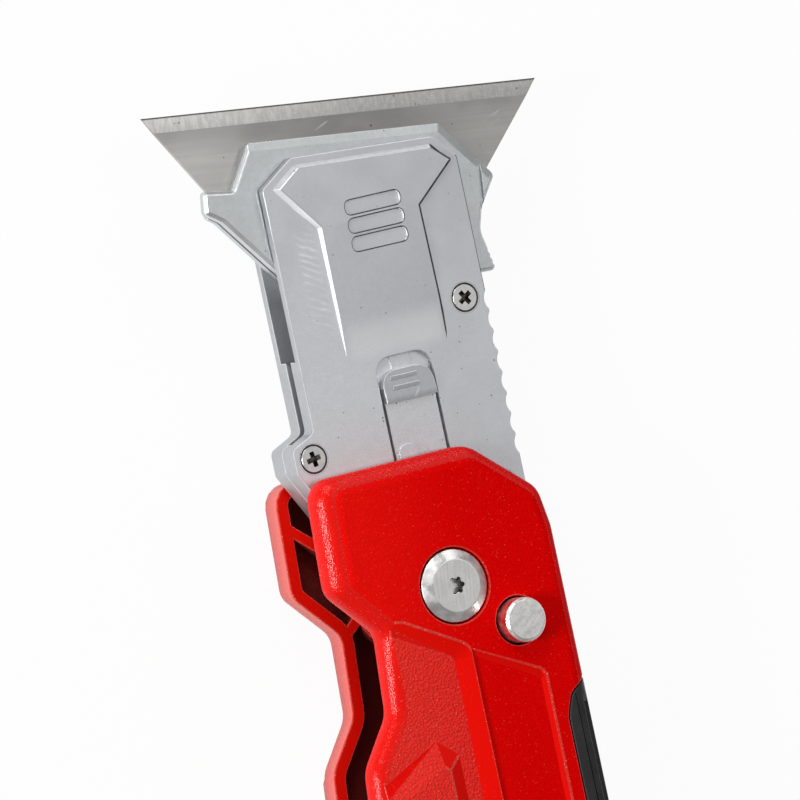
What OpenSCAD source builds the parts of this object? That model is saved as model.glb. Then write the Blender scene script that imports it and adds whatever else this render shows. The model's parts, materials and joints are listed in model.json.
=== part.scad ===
// Folding utility knife and scraper. A trapezoid blade sits in a carrier that swivels in a die-cast
// head, and the head folds on a pivot bolt between the two halves of the handle.
// X runs to the spine, Y to the blade and Z out of the front face. The fold pivot's axis is Z, through
// the origin, and the rear half of the handle lies on Z = 0.

/* [Blade] */
// Length of the cutting edge
blade_l = 62; // [59:0.5:64]
// Height of the blade, from its back to its cutting edge
blade_h = 19; // [18:0.25:20]
// Length of the blade's back
blade_back_l = 32; // [29:0.5:35]
// Thickness of the blade
blade_t = 0.6; // [0.45:0.05:0.7]
// Width of the ground bevel along the cutting edge
bevel_w = 2.2; // [1.2:0.1:3]
// Width of each locating notch in the blade's back
notch_w = 3.4; // [2.8:0.1:4]
// Depth of each locating notch
notch_d = 2.4; // [1.8:0.1:3]
// Distance between the two notches
notch_pitch = 9.5; // [8:0.5:12]
// Distance from the swivel axis to the cutting edge
edge_reach = 14.8; // [14:0.1:15.4]
// How far the blade's middle lies to the left of the swivel axis
blade_shift = 1; // [0:0.1:2]
// Angle of the cutting edge across the head
blade_tilt = 6.1; // [3:0.1:9]

/* [Carrier] */
// Thickness of each jaw
jaw_t = 1.6; // [1.3:0.05:1.7]
// Height of blade left bare above the jaws
blade_bare = 4.9; // [3.5:0.1:6]
// Reach of the left arm from the swivel axis
arm_l = 24.5; // [23.5:0.1:26]
// Reach of the right wing from the swivel axis
wing_l = 21.1; // [20:0.1:22.5]
// Depth of the jaws below the swivel axis
jaw_low = 11.7; // [11:0.1:12]
// Chamfer around each jaw's outer face
jaw_chamfer = 0.5; // [0.2:0.05:0.6]
// Width of the bevel along each jaw's top and right shoulder
jaw_bevel = 1.2; // [0.8:0.05:1.4]
// How much shorter the rear jaw's arm is
arm_step = 1.3; // [1:0.1:1.6]
// Radius of the round boss that the carrier turns on
boss_r = 6; // [5:0.1:6.5]
// Height of the boss above the jaw
boss_h = 1.1; // [0.9:0.05:1.2]
// Radius of each rivet
rivet_r = 1.3; // [0.9:0.1:1.5]

/* [Head] */
// Width of the head
head_w = 30.8; // [30:0.05:32]
// Distance from the fold pivot to the head's top edge
head_l = 62.2; // [61:0.1:64]
// Thickness of the head
head_t = 7.2; // [7:0.05:7.6]
// Thickness of each shell's plate over the carrier
plate_t = 1.4; // [1.2:0.05:1.6]
// Height of the raised panel
panel_h = 0.8; // [0.4:0.05:0.85]
// Distance from the fold pivot to the swivel axis
swivel_y = 54.5; // [53.5:0.1:55.5]
// Distance of the slider's track and the swivel axis from the fold pivot's line
track_x = 2.8; // [2.4:0.1:3.2]
// Reach of the finger lug beyond the head's left edge
lug_l = 3.8; // [3:0.1:4.5]
// Height of the lug's top above the fold pivot
lug_y = 24.9; // [24.5:0.1:26]
// Radius of the hub around the fold pivot
hub_r = 7.4; // [6.8:0.05:7.5]
// Distance between the thumb scallops along the right edge
scallop_pitch = 2.95; // [2.5:0.05:3.5]
// Depth of the thumb scallops
scallop_d = 0.45; // [0.3:0.05:0.6]
// Radius of a head screw's head
screw_head_r = 2; // [1.7:0.05:2.1]
// Radius of a head screw's shank
screw_r = 1; // [0.8:0.05:1.1]

/* [Slider] */
// Width of the slot
slot_w = 8.9; // [8:0.1:9.5]
// Distance from the fold pivot to the slot's top
slot_top = 32.8; // [32.5:0.1:34]
// Length of the thumb button
thumb_l = 4.5; // [4:0.1:5]
// Width of the tongue that locks the carrier
tongue_w = 3.2; // [2.4:0.1:3.6]
// Travel up, into the lock
slide_up = 1.8; // [1.5:0.1:1.9]
// Travel down, against the spring
slide_down = 1; // [0.5:0.1:1.2]

/* [Handle] */
// Gap between the two halves
handle_gap = 9.5; // [9.3:0.05:10]
// Thickness of each half
half_t = 5.75; // [5.7:0.05:6.5]
// Thickness of the spacer at the spine
spacer_t = 3.9; // [3.4:0.1:4.4]
// Distance from the fold pivot to the belly
belly_x = 18; // [17.5:0.1:19]
// Distance from the fold pivot to the finger waist
waist_x = 11.3; // [11:0.1:12.5]
// Distance from the fold pivot to the handle's top edge
handle_top = 18.6; // [18:0.1:19]
// Length of the handle beyond the folded blade's tip
butt_l = 15.6; // [14:0.1:20]
// Radius of the outer edges
edge_r = 2.8; // [1.5:0.1:2.9]
// Width of the lip around each half's inner face
lip_w = 1.9; // [1.6:0.1:2.4]
// Thickness of the floor of each half
floor_t = 2.5; // [2.4:0.05:2.8]
// Depth of the grip recess
recess_d = 1.2; // [0.6:0.05:1.3]
// Height of the chevron pad in the recess
pad_h = 0.7; // [0.3:0.05:1]
// Depth of the long panel beside the recess
panel_d = 0.5; // [0.2:0.05:0.7]
// Width of the black insert on the face
grip_w = 4.5; // [4:0.1:5.5]
// Depth of the black insert under the face
grip_d = 2.2; // [1.8:0.05:2.4]
// Depth of the black insert down the spine
grip_side = 3.9; // [3:0.1:4]

/* [Fold pivot] */
// Radius of the barrel that the head turns on
barrel_r = 3; // [2.6:0.05:3.2]
// Radius of the bolt's shank
bolt_r = 1.75; // [1.4:0.05:2]
// Radius of the bolt's head
bolt_head_r = 5.1; // [4.4:0.1:5.6]
// How far the bolt's head stands out of the face
bolt_proud = 0.6; // [0.2:0.05:1]
// Radius of the barrel's head
barrel_head_r = 4.6; // [4:0.1:5]

/* [Fold lock] */
// Radius of the lock button
button_r = 3.15; // [2.9:0.05:3.2]
// Distance from the fold pivot to the lock button
lock_r = 10.96; // [10.9:0.02:11.3]
// Angle of the lock button below the spine side
lock_angle = 38.3; // [36:0.1:41]
// How far the button stands out of the face
button_proud = 2.6; // [2:0.1:3.2]
// Travel out, into the lock
lock_out = 1.3; // [1.1:0.05:1.35]
// Travel in, when pressed
lock_in = 1.5; // [1:0.05:1.5]
// Radius of the button's neck
neck_r = 1.4; // [1.1:0.05:1.45]
// Thickness of the lock plate
lock_plate_t = 1; // [0.8:0.05:1.1]
// Radius of the lock plate
lock_plate_r = 9.2; // [8.8:0.05:9.3]
// Thickness of the washer that keeps the button in
retainer_t = 0.8; // [0.6:0.05:0.85]

/* [Clearances] */
// Radial clearance of a running fit
run_c = 0.05; // [0.02:0.01:0.08]
// Clearance of a sliding fit
slide_c = 0.1; // [0.05:0.01:0.15]
// Room left around what sweeps past
sweep_c = 0.4; // [0.3:0.05:0.5]

/* [Hidden] */
$fn = 48;
eps = 0.01;
big = 200;

red = [0.80, 0.02, 0.03];
die_cast = [0.68, 0.69, 0.70];
steel = [0.60, 0.59, 0.57];
bright = [0.80, 0.80, 0.80];
soft_black = [0.18, 0.18, 0.18];
bronze = [0.66, 0.52, 0.30];

// Levels, counted from the middle plane of the blade
face_z = handle_gap / 2 + half_t;
mid_z = face_z;
gap_z = handle_gap / 2;
head_z = head_t / 2;
jaw_z = blade_t / 2 + jaw_t;
cavity_z = head_z - plate_t;
boss_z = jaw_z + boss_h;
slit_z = blade_t / 2 + sweep_c;

// Plan positions in the head
swivel = [track_x, swivel_y];
head_proud = 0.1;
spine_gap = 0.6;
spacer_inset = 0.2;
spine_x = (head_w - head_proud + spine_gap + spacer_t + spacer_inset) / 2;
head_right = spine_x + head_proud;
head_left = head_right - head_w;
top_slope = 0.065;
wall_y = swivel_y - jaw_low - 2.2;
pin = lock_r * [cos(lock_angle), -sin(lock_angle)];
head_screw_at = [
  [head_right - 3.4, wall_y - 2.2],
  [head_left - lug_l + 2.9, lug_y - 3.6],
  [head_right - 3.4, 11.6]
];

// The blade in the carrier's own frame: x along the edge, y towards it
back_y = edge_reach - blade_h;
tip_left = [-blade_shift - blade_l / 2, edge_reach];
tip_right = [-blade_shift + blade_l / 2, edge_reach];
back_left = [-blade_shift - blade_back_l / 2, back_y];
back_right = [-blade_shift + blade_back_l / 2, back_y];
jaw_top = edge_reach - blade_bare;

// How far the folded blade reaches from the fold pivot, in the knife pose
fold_reach = norm(in_knife(tip_right));
butt_y = -fold_reach - butt_l;
spacer_top = -fold_reach - 4;

function turn(p, a) = [p.x * cos(a) - p.y * sin(a), p.x * sin(a) + p.y * cos(a)];
function unit(v) = v / norm(v);
function left_of(v) = [-v.y, v.x];
// A point of the carrier, in the head's frame, with the blade along the head
function in_knife(p) = swivel + turn(p, 90);

// One rounded corner of an outline: corners are [x, y, radius], anticlockwise, moved in by an inset
function corner_arc(a, b, c, inset, n) =
  let (
    d1 = unit([b.x - a.x, b.y - a.y]),
    d2 = unit([c.x - b.x, c.y - b.y]),
    way = cross(d1, d2) >= 0 ? 1 : -1,
    half = acos(max(-1, min(1, d1 * d2))) / 2,
    n1 = left_of(d1),
    n2 = left_of(d2),
    tip = [b.x, b.y] + inset * (n1 + n2) / (1 + n1 * n2),
    r = way > 0 ? max(b.z - inset, 0.1) : b.z + inset,
    centre = tip - d1 * r * tan(half) + n1 * way * r
  )
  [for (i = [0:n]) centre - turn(n1 * way * r, way * 2 * half * i / n)];
function outline(corners, inset = 0, n = 4) =
  let (m = len(corners))
  [for (i = [0:m - 1]) each corner_arc(corners[(i + m - 1) % m], corners[i], corners[(i + 1) % m], inset, n)];
function box_corners(x0, y0, x1, y1, r) = [[x0, y0, r], [x1, y0, r], [x1, y1, r], [x0, y1, r]];
function at_level(points, z) = [for (p = points) [p.x, p.y, z]];

// The mean of a ring's points
function middle(ring) = [for (p = ring) 1] * ring / len(ring);

// A solid through rings of equally many points, listed anticlockwise from the lowest ring up. Triangles
// about the point hub, which sees the whole ring, close each end
module loft(rings, hub) {
  n = len(rings[0]);
  m = len(rings);
  ends = [for (r = [rings[0], rings[m - 1]]) is_undef(hub) ? middle(r) : [hub.x, hub.y, r[0].z]];
  sides = [
    for (j = [0:m - 2], i = [0:n - 1])
      let (k = (i + 1) % n)
      each [[j * n + i, (j + 1) * n + i, (j + 1) * n + k], [j * n + i, (j + 1) * n + k, j * n + k]]
  ];
  floor_fan = [for (i = [0:n - 1]) [m * n, i, (i + 1) % n]];
  roof_fan = [for (i = [0:n - 1]) [m * n + 1, (m - 1) * n + (i + 1) % n, (m - 1) * n + i]];
  polyhedron(points = concat([for (r = rings) each r], ends), faces = concat(floor_fan, sides, roof_fan));
}

// A coil spring along Z as one tube of six sides
module coil(r, wire_r, length, turns) {
  steps = 12;
  rings = [
    for (i = [0:turns * steps])
      let (a = 360 * i / steps, z = wire_r + (length - 2 * wire_r) * i / (turns * steps))
      [for (j = [0:5]) let (q = r + wire_r * cos(60 * j)) [q * cos(a), q * sin(a), z - wire_r * sin(60 * j)]]
  ];
  loft(rings);
}

module lifted() {
  translate([0, 0, mid_z]) children();
}

module in_carrier() {
  lifted() translate([track_x, swivel_y, 0]) rotate(-blade_tilt) children();
}

// Blade

blade_outline = [tip_left, back_left, back_right, tip_right];
edge_land = 0.03;
notch_corners = box_corners(-notch_w / 2, -notch_d, notch_w / 2, notch_d, 0.6);

module blade() {
  color(steel) in_carrier() difference() {
    intersection() {
      translate([0, 0, -blade_t]) linear_extrude(2 * blade_t) polygon(blade_outline);
      translate([-big / 2, 0, 0]) rotate([90, 0, 90]) linear_extrude(big) polygon([
        [back_y, -blade_t / 2], [edge_reach - bevel_w, -blade_t / 2], [edge_reach, -edge_land],
        [edge_reach, edge_land], [edge_reach - bevel_w, blade_t / 2], [back_y, blade_t / 2]
      ]);
    }
    for (side = [-1, 1])
      translate([-blade_shift + side * notch_pitch / 2, back_y, -blade_t]) linear_extrude(2 * blade_t)
        polygon(outline(notch_corners));
  }
}

// Carrier: two jaws that clamp the blade

carrier_corners = [
  [wing_l - 7.8, jaw_top, 0.6],
  [-arm_l + 7.8, jaw_top, 0.8],
  [-arm_l + 4.6, 3.6, 0.6],
  [-arm_l + 0.1, 3.8, 0.6],
  [-arm_l, 0.6, 0.7],
  [-arm_l + 1, 0.1, 0.6],
  [-arm_l + 2.5, -0.7, 1],
  [-arm_l + 13.3, -jaw_low, 1.5],
  [wing_l - 3.3, -jaw_low + 0.15, 0.8],
  [wing_l - 1.2, -jaw_low + 0.3, 0.7],
  [wing_l - 1.9, -jaw_low + 2.35, 0.6],
  [wing_l - 3.1, -jaw_low + 6, 3],
  [wing_l - 2.4, -jaw_low + 9.4, 2],
  [wing_l + 0.1, 1.9, 0.9]
];
rivet_at = [[-8.6, -jaw_low + 3.2], [11.2, -jaw_low + 3.2]];
tab_ridge_r = 0.45;
wing_groove_w = 0.5;
wing_groove_d = 0.4;

// A corner moved in by one distance from the edge before it and another from the edge after it
function moved_corner(a, b, c, before, after) =
  let (
    d1 = unit([b.x - a.x, b.y - a.y]),
    d2 = unit([c.x - b.x, c.y - b.y]),
    n1 = left_of(d1),
    n2 = left_of(d2),
    way = cross(d1, d2) >= 0 ? 1 : -1,
    p = [b.x, b.y] + before * n1 + d1 * (after - before * (n1 * n2)) / (d1 * n2)
  )
  [p.x, p.y, max(b.z - way * min(before, after), 0.15)];

// The jaw's face: a wide bevel leads to it along the top and the right shoulder, a narrow one elsewhere
carrier_count = len(carrier_corners);
jaw_insets = [for (i = [0:carrier_count - 1]) i == 0 || i == carrier_count - 1 ? jaw_bevel : jaw_chamfer];
jaw_face_corners = [
  for (i = [0:carrier_count - 1])
    let (h = (i + carrier_count - 1) % carrier_count, k = (i + 1) % carrier_count)
    moved_corner(carrier_corners[h], carrier_corners[i], carrier_corners[k], jaw_insets[h], jaw_insets[i])
];

module jaw_plate() {
  difference() {
    loft([
      at_level(outline(carrier_corners), blade_t / 2),
      at_level(outline(carrier_corners), jaw_z - jaw_chamfer),
      at_level(outline(jaw_face_corners), jaw_z)
    ], [0, 0]);
    translate([wing_l - 2.7, -2.6, jaw_z - wing_groove_d]) cube([wing_groove_w, 6, big]);
    for (i = [0:3])
      translate([wing_l - 2.15 + 0.25 * i, -jaw_low + 3.1 - 0.9 * i, 0])
        cylinder(r = tab_ridge_r / 2, h = big);
    for (p = rivet_at)
      translate(p) translate([0, 0, -big / 2]) cylinder(r = rivet_r + 0.02, h = big);
  }
  translate([0, 0, jaw_z - eps]) cylinder(r = boss_r, h = boss_h + eps);
}

// Cuts in the front boss that the slider's tongue drops into, at the knife and the scraper pose
module tongue_notches() {
  for (a = [180, 270 + blade_tilt])
    rotate(a) translate([boss_r - slide_up, -tongue_w / 2 - slide_c, jaw_z])
      cube([slide_up + 1, tongue_w + 2 * slide_c, boss_h + 1]);
}

module front_jaw() {
  color(die_cast) in_carrier() difference() {
    jaw_plate();
    tongue_notches();
  }
}

module rear_jaw() {
  color(die_cast) in_carrier() {
    difference() {
      mirror([0, 0, 1]) jaw_plate();
      translate([-big - arm_l + arm_step, -1, -big / 2]) cube([big, big, big]);
    }
    // The layer behind the blade, which the front jaw seats on, with nibs in the blade's notches
    translate([0, 0, -blade_t / 2 - jaw_t / 2]) linear_extrude(blade_t + jaw_t / 2) difference() {
      union() {
        polygon([
          [-arm_l + 8.3, back_y - slide_c], [-arm_l + 13.9, -jaw_low + 1.2],
          [wing_l - 4.8, -jaw_low + 1.2], [wing_l - 4.8, back_y - slide_c]
        ]);
        for (side = [-1, 1])
          translate([-blade_shift + side * notch_pitch / 2, back_y]) polygon(outline(notch_corners, slide_c));
      }
      for (p = rivet_at)
        translate(p) circle(r = rivet_r + 0.02);
    }
  }
}

module carrier_rivets() {
  color(bright) in_carrier()
    for (p = rivet_at)
      translate(p) translate([0, 0, -jaw_z]) cylinder(r = rivet_r, h = 2 * jaw_z);
}

// Head: two die-cast shells

head_corners = [
  [pin.x + 3.6, pin.y + 1.2, 0.8],
  [head_right, -0.8, 2],
  [head_right, head_l - 4.2, 0.8],
  [head_right - 3.15, head_l - top_slope * (head_right - 3.15 - track_x), 1],
  [head_left + 5.3, head_l - top_slope * (head_left + 5.3 - track_x), 1],
  [head_left, head_l - 2.8, 0.8],
  [head_left, lug_y, 1],
  [head_left - lug_l + 0.3, lug_y - 1.6, 0.6],
  [head_left - lug_l, lug_y - 2.2, 0.6],
  [head_left - lug_l, lug_y - 5.2, 1],
  [-pin.x - 2, -pin.y + 1.8, 0.5],
  [0, 0, 0.2]
];
scallop_r = 2;
scallop_low = 16;
scallop_high = wall_y - 3.2;
scallop_count = floor((scallop_high - scallop_low) / scallop_pitch);

module head_plan() {
  difference() {
    union() {
      polygon(outline(head_corners));
      circle(r = hub_r);
    }
    for (side = [-1, 1])
      translate(side * pin) circle(r = button_r + 0.25);
    for (i = [0:scallop_count])
      translate([head_right + scallop_r - scallop_d, scallop_high - i * scallop_pitch]) circle(r = scallop_r);
    circle(r = barrel_r + run_c);
  }
}

// Where the carrier sweeps: inside its arm's circle, left of where its lower edge stops, or above the wall
arm_low = in_knife([carrier_corners[5].x, carrier_corners[5].y]);
edge_a = in_knife([carrier_corners[6].x, carrier_corners[6].y]);
edge_b = in_knife([carrier_corners[7].x, carrier_corners[7].y]);
edge_dir = unit(edge_b - edge_a);
edge_out = -(sweep_c + 0.2) * left_of(edge_dir);
edge_end = edge_a + edge_out + edge_dir * (wall_y - edge_a.y - edge_out.y) / edge_dir.y;
arm_sweep_r = norm([carrier_corners[3].x, carrier_corners[3].y]) + sweep_c;

module carrier_room() {
  intersection() {
    polygon([
      [arm_low.x + 0.6, 0], [arm_low.x + 0.6, arm_low.y + 0.3], edge_a + edge_out, edge_end,
      [big, wall_y], [big, big], [-big, big], [-big, 0]
    ]);
    union() {
      translate(swivel) circle(r = arm_sweep_r);
      translate([-big, wall_y]) square(2 * big);
    }
  }
}

// Where the bare blade sweeps into the left side: inside its tip's circle, above where its end stops
end_dir = unit(in_knife(back_left) - in_knife(tip_left));
end_out = -(sweep_c + 0.2) * left_of(end_dir);
tip_sweep_r = norm(tip_left) + sweep_c;

module blade_room() {
  intersection() {
    translate(swivel) circle(r = tip_sweep_r);
    polygon([
      in_knife(tip_left) + end_out - 30 * end_dir, in_knife(back_left) + end_out + 30 * end_dir,
      [in_knife(back_left).x, big], [-big, big]
    ]);
  }
}

// The raised panel: it spans the head at the top, narrows, and dies away towards the slot
panel_low = slot_top + 0.2;
panel_mid = slot_top + 7;
panel_neck = swivel_y - 2.2;
panel_base = [
  [head_left + 0.4, head_l - 2.9], [track_x - 9.1, panel_neck], [track_x - 9, panel_mid],
  [track_x - 8.9, panel_low], [track_x + 8.3, panel_low], [track_x + 8.2, panel_mid],
  [track_x + 7.9, panel_neck], [head_right - 0.35, head_l - 4.3], [head_right - 3.35, head_l - 1],
  [head_left + 5.1, head_l + 0.4]
];
panel_roof = [
  [head_left + 2.3, head_l - 3.3], [track_x - 8.4, panel_neck + 0.15], [track_x - 8.4, panel_mid],
  [track_x - 8.4, panel_low], [track_x + 7.8, panel_low], [track_x + 7.7, panel_mid],
  [track_x + 7.4, panel_neck + 0.15], [head_right - 1.45, head_l - 4.6], [head_right - 4.05, head_l - 2.3],
  [head_left + 5.8, head_l - 0.9]
];
panel_rise = [1, 1, 0.6, -0.03, -0.03, 0.6, 1, 1, 1, 1];

module raised_panel() {
  n = len(panel_base);
  top = [for (i = [0:n - 1]) [panel_roof[i].x, panel_roof[i].y, head_z + panel_h * panel_rise[i]]];
  sides = [for (i = [0:n - 1]) let (k = (i + 1) % n) each [[i, n + i, n + k], [i, n + k, k]]];
  base = [[6, 7, 8, 9, 0, 1], [1, 2, 5, 6], [2, 3, 4, 5]];
  roof = [[n + 1, n, n + 9, n + 8, n + 7, n + 6], [n + 6, n + 5, n + 2, n + 1], [n + 5, n + 4, n + 3, n + 2]];
  polyhedron(points = concat(at_level(panel_base, cavity_z + 0.3), top), faces = concat(base, sides, roof));
}

// What both shells share, drawn for the front one
module shell_blank() {
  difference() {
    union() {
      linear_extrude(head_z) head_plan();
      raised_panel();
    }
    translate([0, 0, -1]) linear_extrude(1 + cavity_z) carrier_room();
    translate([0, 0, -1]) linear_extrude(1 + slit_z) blade_room();
    translate([track_x, swivel_y, 0]) cylinder(r = boss_r + run_c, h = boss_z + slide_c);
    translate([0, 0, -1]) linear_extrude(1 + lock_plate_t / 2) lock_plate_plan(slide_c);
  }
}

// Slider and its track
strip_w = slot_w - 0.8;
slot_corner_r = 2.4;
strip_low = 13;
thumb_top = slot_top - slide_up - slide_c;
thumb_low = thumb_top - thumb_l;
strip_z = cavity_z - 0.15;
flange_w = strip_w + 2.4;
flange_z = strip_z + 0.65;
flange_top = slot_top + slide_down + 0.2;
tongue_tip = swivel_y - boss_r - 0.3;
tongue_z = boss_z - 0.1;
spring_low = 7.3;
spring_r = 0.9;
spring_wire_r = 0.18;
spring_z = strip_z + 0.15;

module slider_track() {
  x0 = track_x - slot_w / 2;
  translate([0, 0, strip_z - slide_c]) linear_extrude(big)
    polygon(outline([
      [x0, strip_low - slide_down - 0.5, 0.5], [x0 + slot_w, strip_low - slide_down - 0.5, 0.5],
      [x0 + slot_w, slot_top, slot_corner_r], [x0, slot_top, slot_corner_r]
    ]));
  translate([track_x - flange_w / 2 - slide_c, strip_low - slide_down - 0.2, strip_z - slide_c])
    cube([
      flange_w + 2 * slide_c, flange_top + slide_up + slide_down + 0.4 - strip_low,
      flange_z - strip_z + 2 * slide_c
    ]);
  translate([track_x - tongue_w / 2 - slide_c, thumb_low, strip_z - slide_c])
    cube([tongue_w + 2 * slide_c, swivel_y - thumb_low, tongue_z + slide_c - strip_z + slide_c]);
  translate([track_x - spring_r - 0.5, spring_low, spring_z - spring_r - spring_wire_r - 0.15])
    cube([2 * spring_r + 1, strip_low - spring_low, big]);
}

bar_w = 8.7;
bar_h = 2;
bar_d = 0.4;
bar_pitch = 2.6;

module panel_bars() {
  for (i = [0:2])
    translate([track_x + 0.15, swivel_y - 0.2 - i * bar_pitch, head_z + panel_h - bar_d]) linear_extrude(big)
      polygon(outline(box_corners(-bar_w / 2, -bar_h / 2, bar_w / 2, bar_h / 2, 0.8)));
}

screw_head_h = 1.1;
screw_depth = head_z - 1;

module front_head_shell() {
  color(die_cast) lifted() difference() {
    shell_blank();
    slider_track();
    panel_bars();
    for (p = head_screw_at)
      translate(p) {
        translate([0, 0, -1]) cylinder(r = screw_r + slide_c, h = big);
        translate([0, 0, head_z - screw_head_h])
          cylinder(r1 = screw_r + slide_c, r2 = screw_head_r + slide_c, h = screw_head_h);
        translate([0, 0, head_z - eps]) cylinder(r = screw_head_r + slide_c, h = big);
      }
  }
}

module rear_head_shell() {
  color(die_cast) lifted() difference() {
    mirror([0, 0, 1]) shell_blank();
    for (p = head_screw_at)
      translate(p) translate([0, 0, -screw_depth - slide_c]) cylinder(r = screw_r + 0.02, h = big);
  }
}

module head_screws() {
  cross_w = 0.7;
  cross_l = 2.4;
  cross_d = 0.7;
  color(bright) lifted()
    for (p = head_screw_at)
      translate(p) difference() {
        union() {
          translate([0, 0, -screw_depth]) cylinder(r = screw_r, h = screw_depth + head_z - screw_head_h + eps);
          translate([0, 0, head_z - screw_head_h]) cylinder(r1 = screw_r, r2 = screw_head_r, h = screw_head_h);
        }
        for (a = [0, 90])
          rotate(a + 12) translate([-cross_l / 2, -cross_w / 2, head_z - cross_d]) cube([cross_l, cross_w, 1]);
      }
}

// Lock plate: a notched disc on the hub with an arm to the lowest head screw

module lock_plate_plan(c) {
  arm = head_screw_at[2];
  difference() {
    union() {
      circle(r = lock_plate_r + c);
      rotate(atan2(arm.y, arm.x)) translate([0, -3 - c]) square([norm(arm) - 1, 6 + 2 * c]);
    }
    if (c == 0)
      for (side = [-1, 1])
        translate(side * pin) circle(r = button_r + slide_c);
  }
}

module lock_plate() {
  color(steel) lifted() translate([0, 0, -lock_plate_t / 2]) linear_extrude(lock_plate_t) difference() {
    lock_plate_plan(0);
    circle(r = barrel_r + run_c);
    translate(head_screw_at[2]) circle(r = screw_r + slide_c);
  }
}

// Thumb slider: a strip in the slot, a wedge to push on, side flanges and the tongue
rib_w = 4.4;
rib_h = 0.22;
rib_t = 0.6;
pad_w = 2.9;

module lock_slider() {
  face = head_z - 0.1;
  thumb_z = head_z + panel_h - 0.05;
  thumb_x = track_x - strip_w / 2;
  color(die_cast) lifted() {
    translate([track_x - flange_w / 2, strip_low, strip_z])
      cube([flange_w, flange_top - strip_low, flange_z - strip_z]);
    translate([track_x - tongue_w / 2, thumb_low, strip_z])
      cube([tongue_w, tongue_tip - thumb_low, tongue_z - strip_z]);
    // The strip and its wedge, seen from the side, cut to the strip's plan
    intersection() {
      translate([thumb_x, 0, 0]) rotate([90, 0, 90]) linear_extrude(strip_w) polygon([
        [strip_low, strip_z], [thumb_top, strip_z], [thumb_top, face + 0.25],
        [thumb_low + 0.8, thumb_z], [thumb_low, thumb_z], [thumb_low, face], [strip_low, face]
      ]);
      linear_extrude(big) polygon(outline([
        [thumb_x, strip_low, 0.3], [thumb_x + strip_w, strip_low, 0.3],
        [thumb_x + strip_w, thumb_top, slot_corner_r], [thumb_x, thumb_top, slot_corner_r]
      ]));
    }
    for (y = [thumb_low + 1.7, thumb_low + 3.1]) {
      slope_z = thumb_z - (y - thumb_low - 0.8) * (thumb_z - face - 0.25) / (thumb_l - 0.8);
      translate([thumb_x + 1.3, y, face]) linear_extrude(slope_z - face + rib_h - 0.05)
        polygon(outline(box_corners(0, 0, rib_w, rib_t, 0.25)));
    }
    translate([0, 0, face - eps]) linear_extrude(0.3)
      polygon(outline(box_corners(track_x - 3.5, strip_low, track_x - 3.5 + pad_w, thumb_low - 6, 1.2)));
  }
}

module slider_spring() {
  color(bright) lifted() translate([track_x, spring_low, spring_z]) rotate([-90, 0, 0])
    coil(spring_r, spring_wire_r, strip_low - spring_low, 6);
}

// Handle: two moulded halves

handle_corners = [
  [7.4, handle_top, 4],
  [-belly_x + 1.1, handle_top - 0.2, 3.4],
  [-belly_x + 0.4, 2.6, 3],
  [-waist_x, -4.2, 3],
  [-waist_x - 0.8, -15.7, 4],
  [-belly_x + 1, -22.6, 5],
  [-belly_x, -34, 20],
  [-belly_x + 2.4, -58, 40],
  [-belly_x + 0.4, butt_y + 16, 14],
  [-belly_x + 5.5, butt_y, 8],
  [spine_x - 4.7, butt_y, 8],
  [spine_x, butt_y + 14, 12],
  [spine_x, 5, 6],
  [spine_x - 0.9, 10.6, 4]
];
edge_steps = 4;
// A point from which the whole outline is in sight
handle_hub = [3, -5];

module half_body() {
  loft(concat(
    [at_level(outline(handle_corners), gap_z)],
    [
      for (j = [0:edge_steps])
        let (a = 90 * j / edge_steps)
        at_level(outline(handle_corners, edge_r * (1 - cos(a))), face_z - edge_r + edge_r * sin(a))
    ]
  ), handle_hub);
}

// Grip recess on the belly side of the face, with the chevron pad in it
recess_low = butt_y + 16;
recess_floor = face_z - recess_d;
recess_rim = [
  [-belly_x - 6, 5, 0.5], [-belly_x - 6, recess_low - 4, 0.5], [-2, recess_low - 4, 1], [0.6, recess_low, 1],
  [0.6, -8.6, 2.6]
];
recess_foot = [
  [-belly_x - 6, 2.1, 0.5], [-belly_x - 6, recess_low - 1, 0.5], [-3, recess_low - 1, 1],
  [-1.9, recess_low + 1.5, 1], [-1.9, -9.6, 1.2]
];
pad_foot = [
  [-belly_x - 6, -28.4], [-belly_x - 6, recess_low + 10.5], [-7.4, recess_low + 5.5], [-4.2, recess_low + 8],
  [-4.2, -23.1], [-7.3, -20.6]
];
pad_roof = [
  [-belly_x - 6, -32], [-belly_x - 6, recess_low + 14], [-7.4, recess_low + 8.6], [-6.3, recess_low + 10],
  [-6.3, -24.9], [-7, -24.3]
];
panel_rim = [
  [0.6 - eps, recess_low + 1], [10.7, recess_low + 1], [11.2, -15], [10.4, -14], [0.6 - eps, -9]
];
panel_foot = [
  [0.6 - eps, recess_low + 2], [10, recess_low + 2], [10.4, -15.6], [9.9, -15], [0.6 - eps, -10]
];

module face_cuts() {
  loft([
    at_level(outline(recess_foot), recess_floor), at_level(outline(recess_rim), face_z),
    at_level(outline(recess_rim), face_z + 1)
  ]);
  loft([at_level(panel_foot, face_z - panel_d), at_level(panel_rim, face_z), at_level(panel_rim, face_z + 1)]);
}

module chevron_pad() {
  intersection() {
    loft([
      at_level(pad_foot, recess_floor - 0.4), at_level(pad_foot, recess_floor),
      at_level(pad_roof, recess_floor + pad_h)
    ]);
    half_body();
  }
}

// The black insert's place along the spine
grip_x = spine_x - grip_w;
grip_top = -16.5;
grip_low = butt_y + 18;
grip_corners = [
  [grip_x, grip_low + 6, 3], [grip_x + 1.8, grip_low + 2, 2], [spine_x + 4, grip_low - 2, 0.5],
  [spine_x + 4, grip_top + 2.4, 0.5], [grip_x + 1.2, grip_top - 1.9, 2], [grip_x, grip_top - 5, 4]
];
grip_spine_x = spine_x - 1.8;

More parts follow.
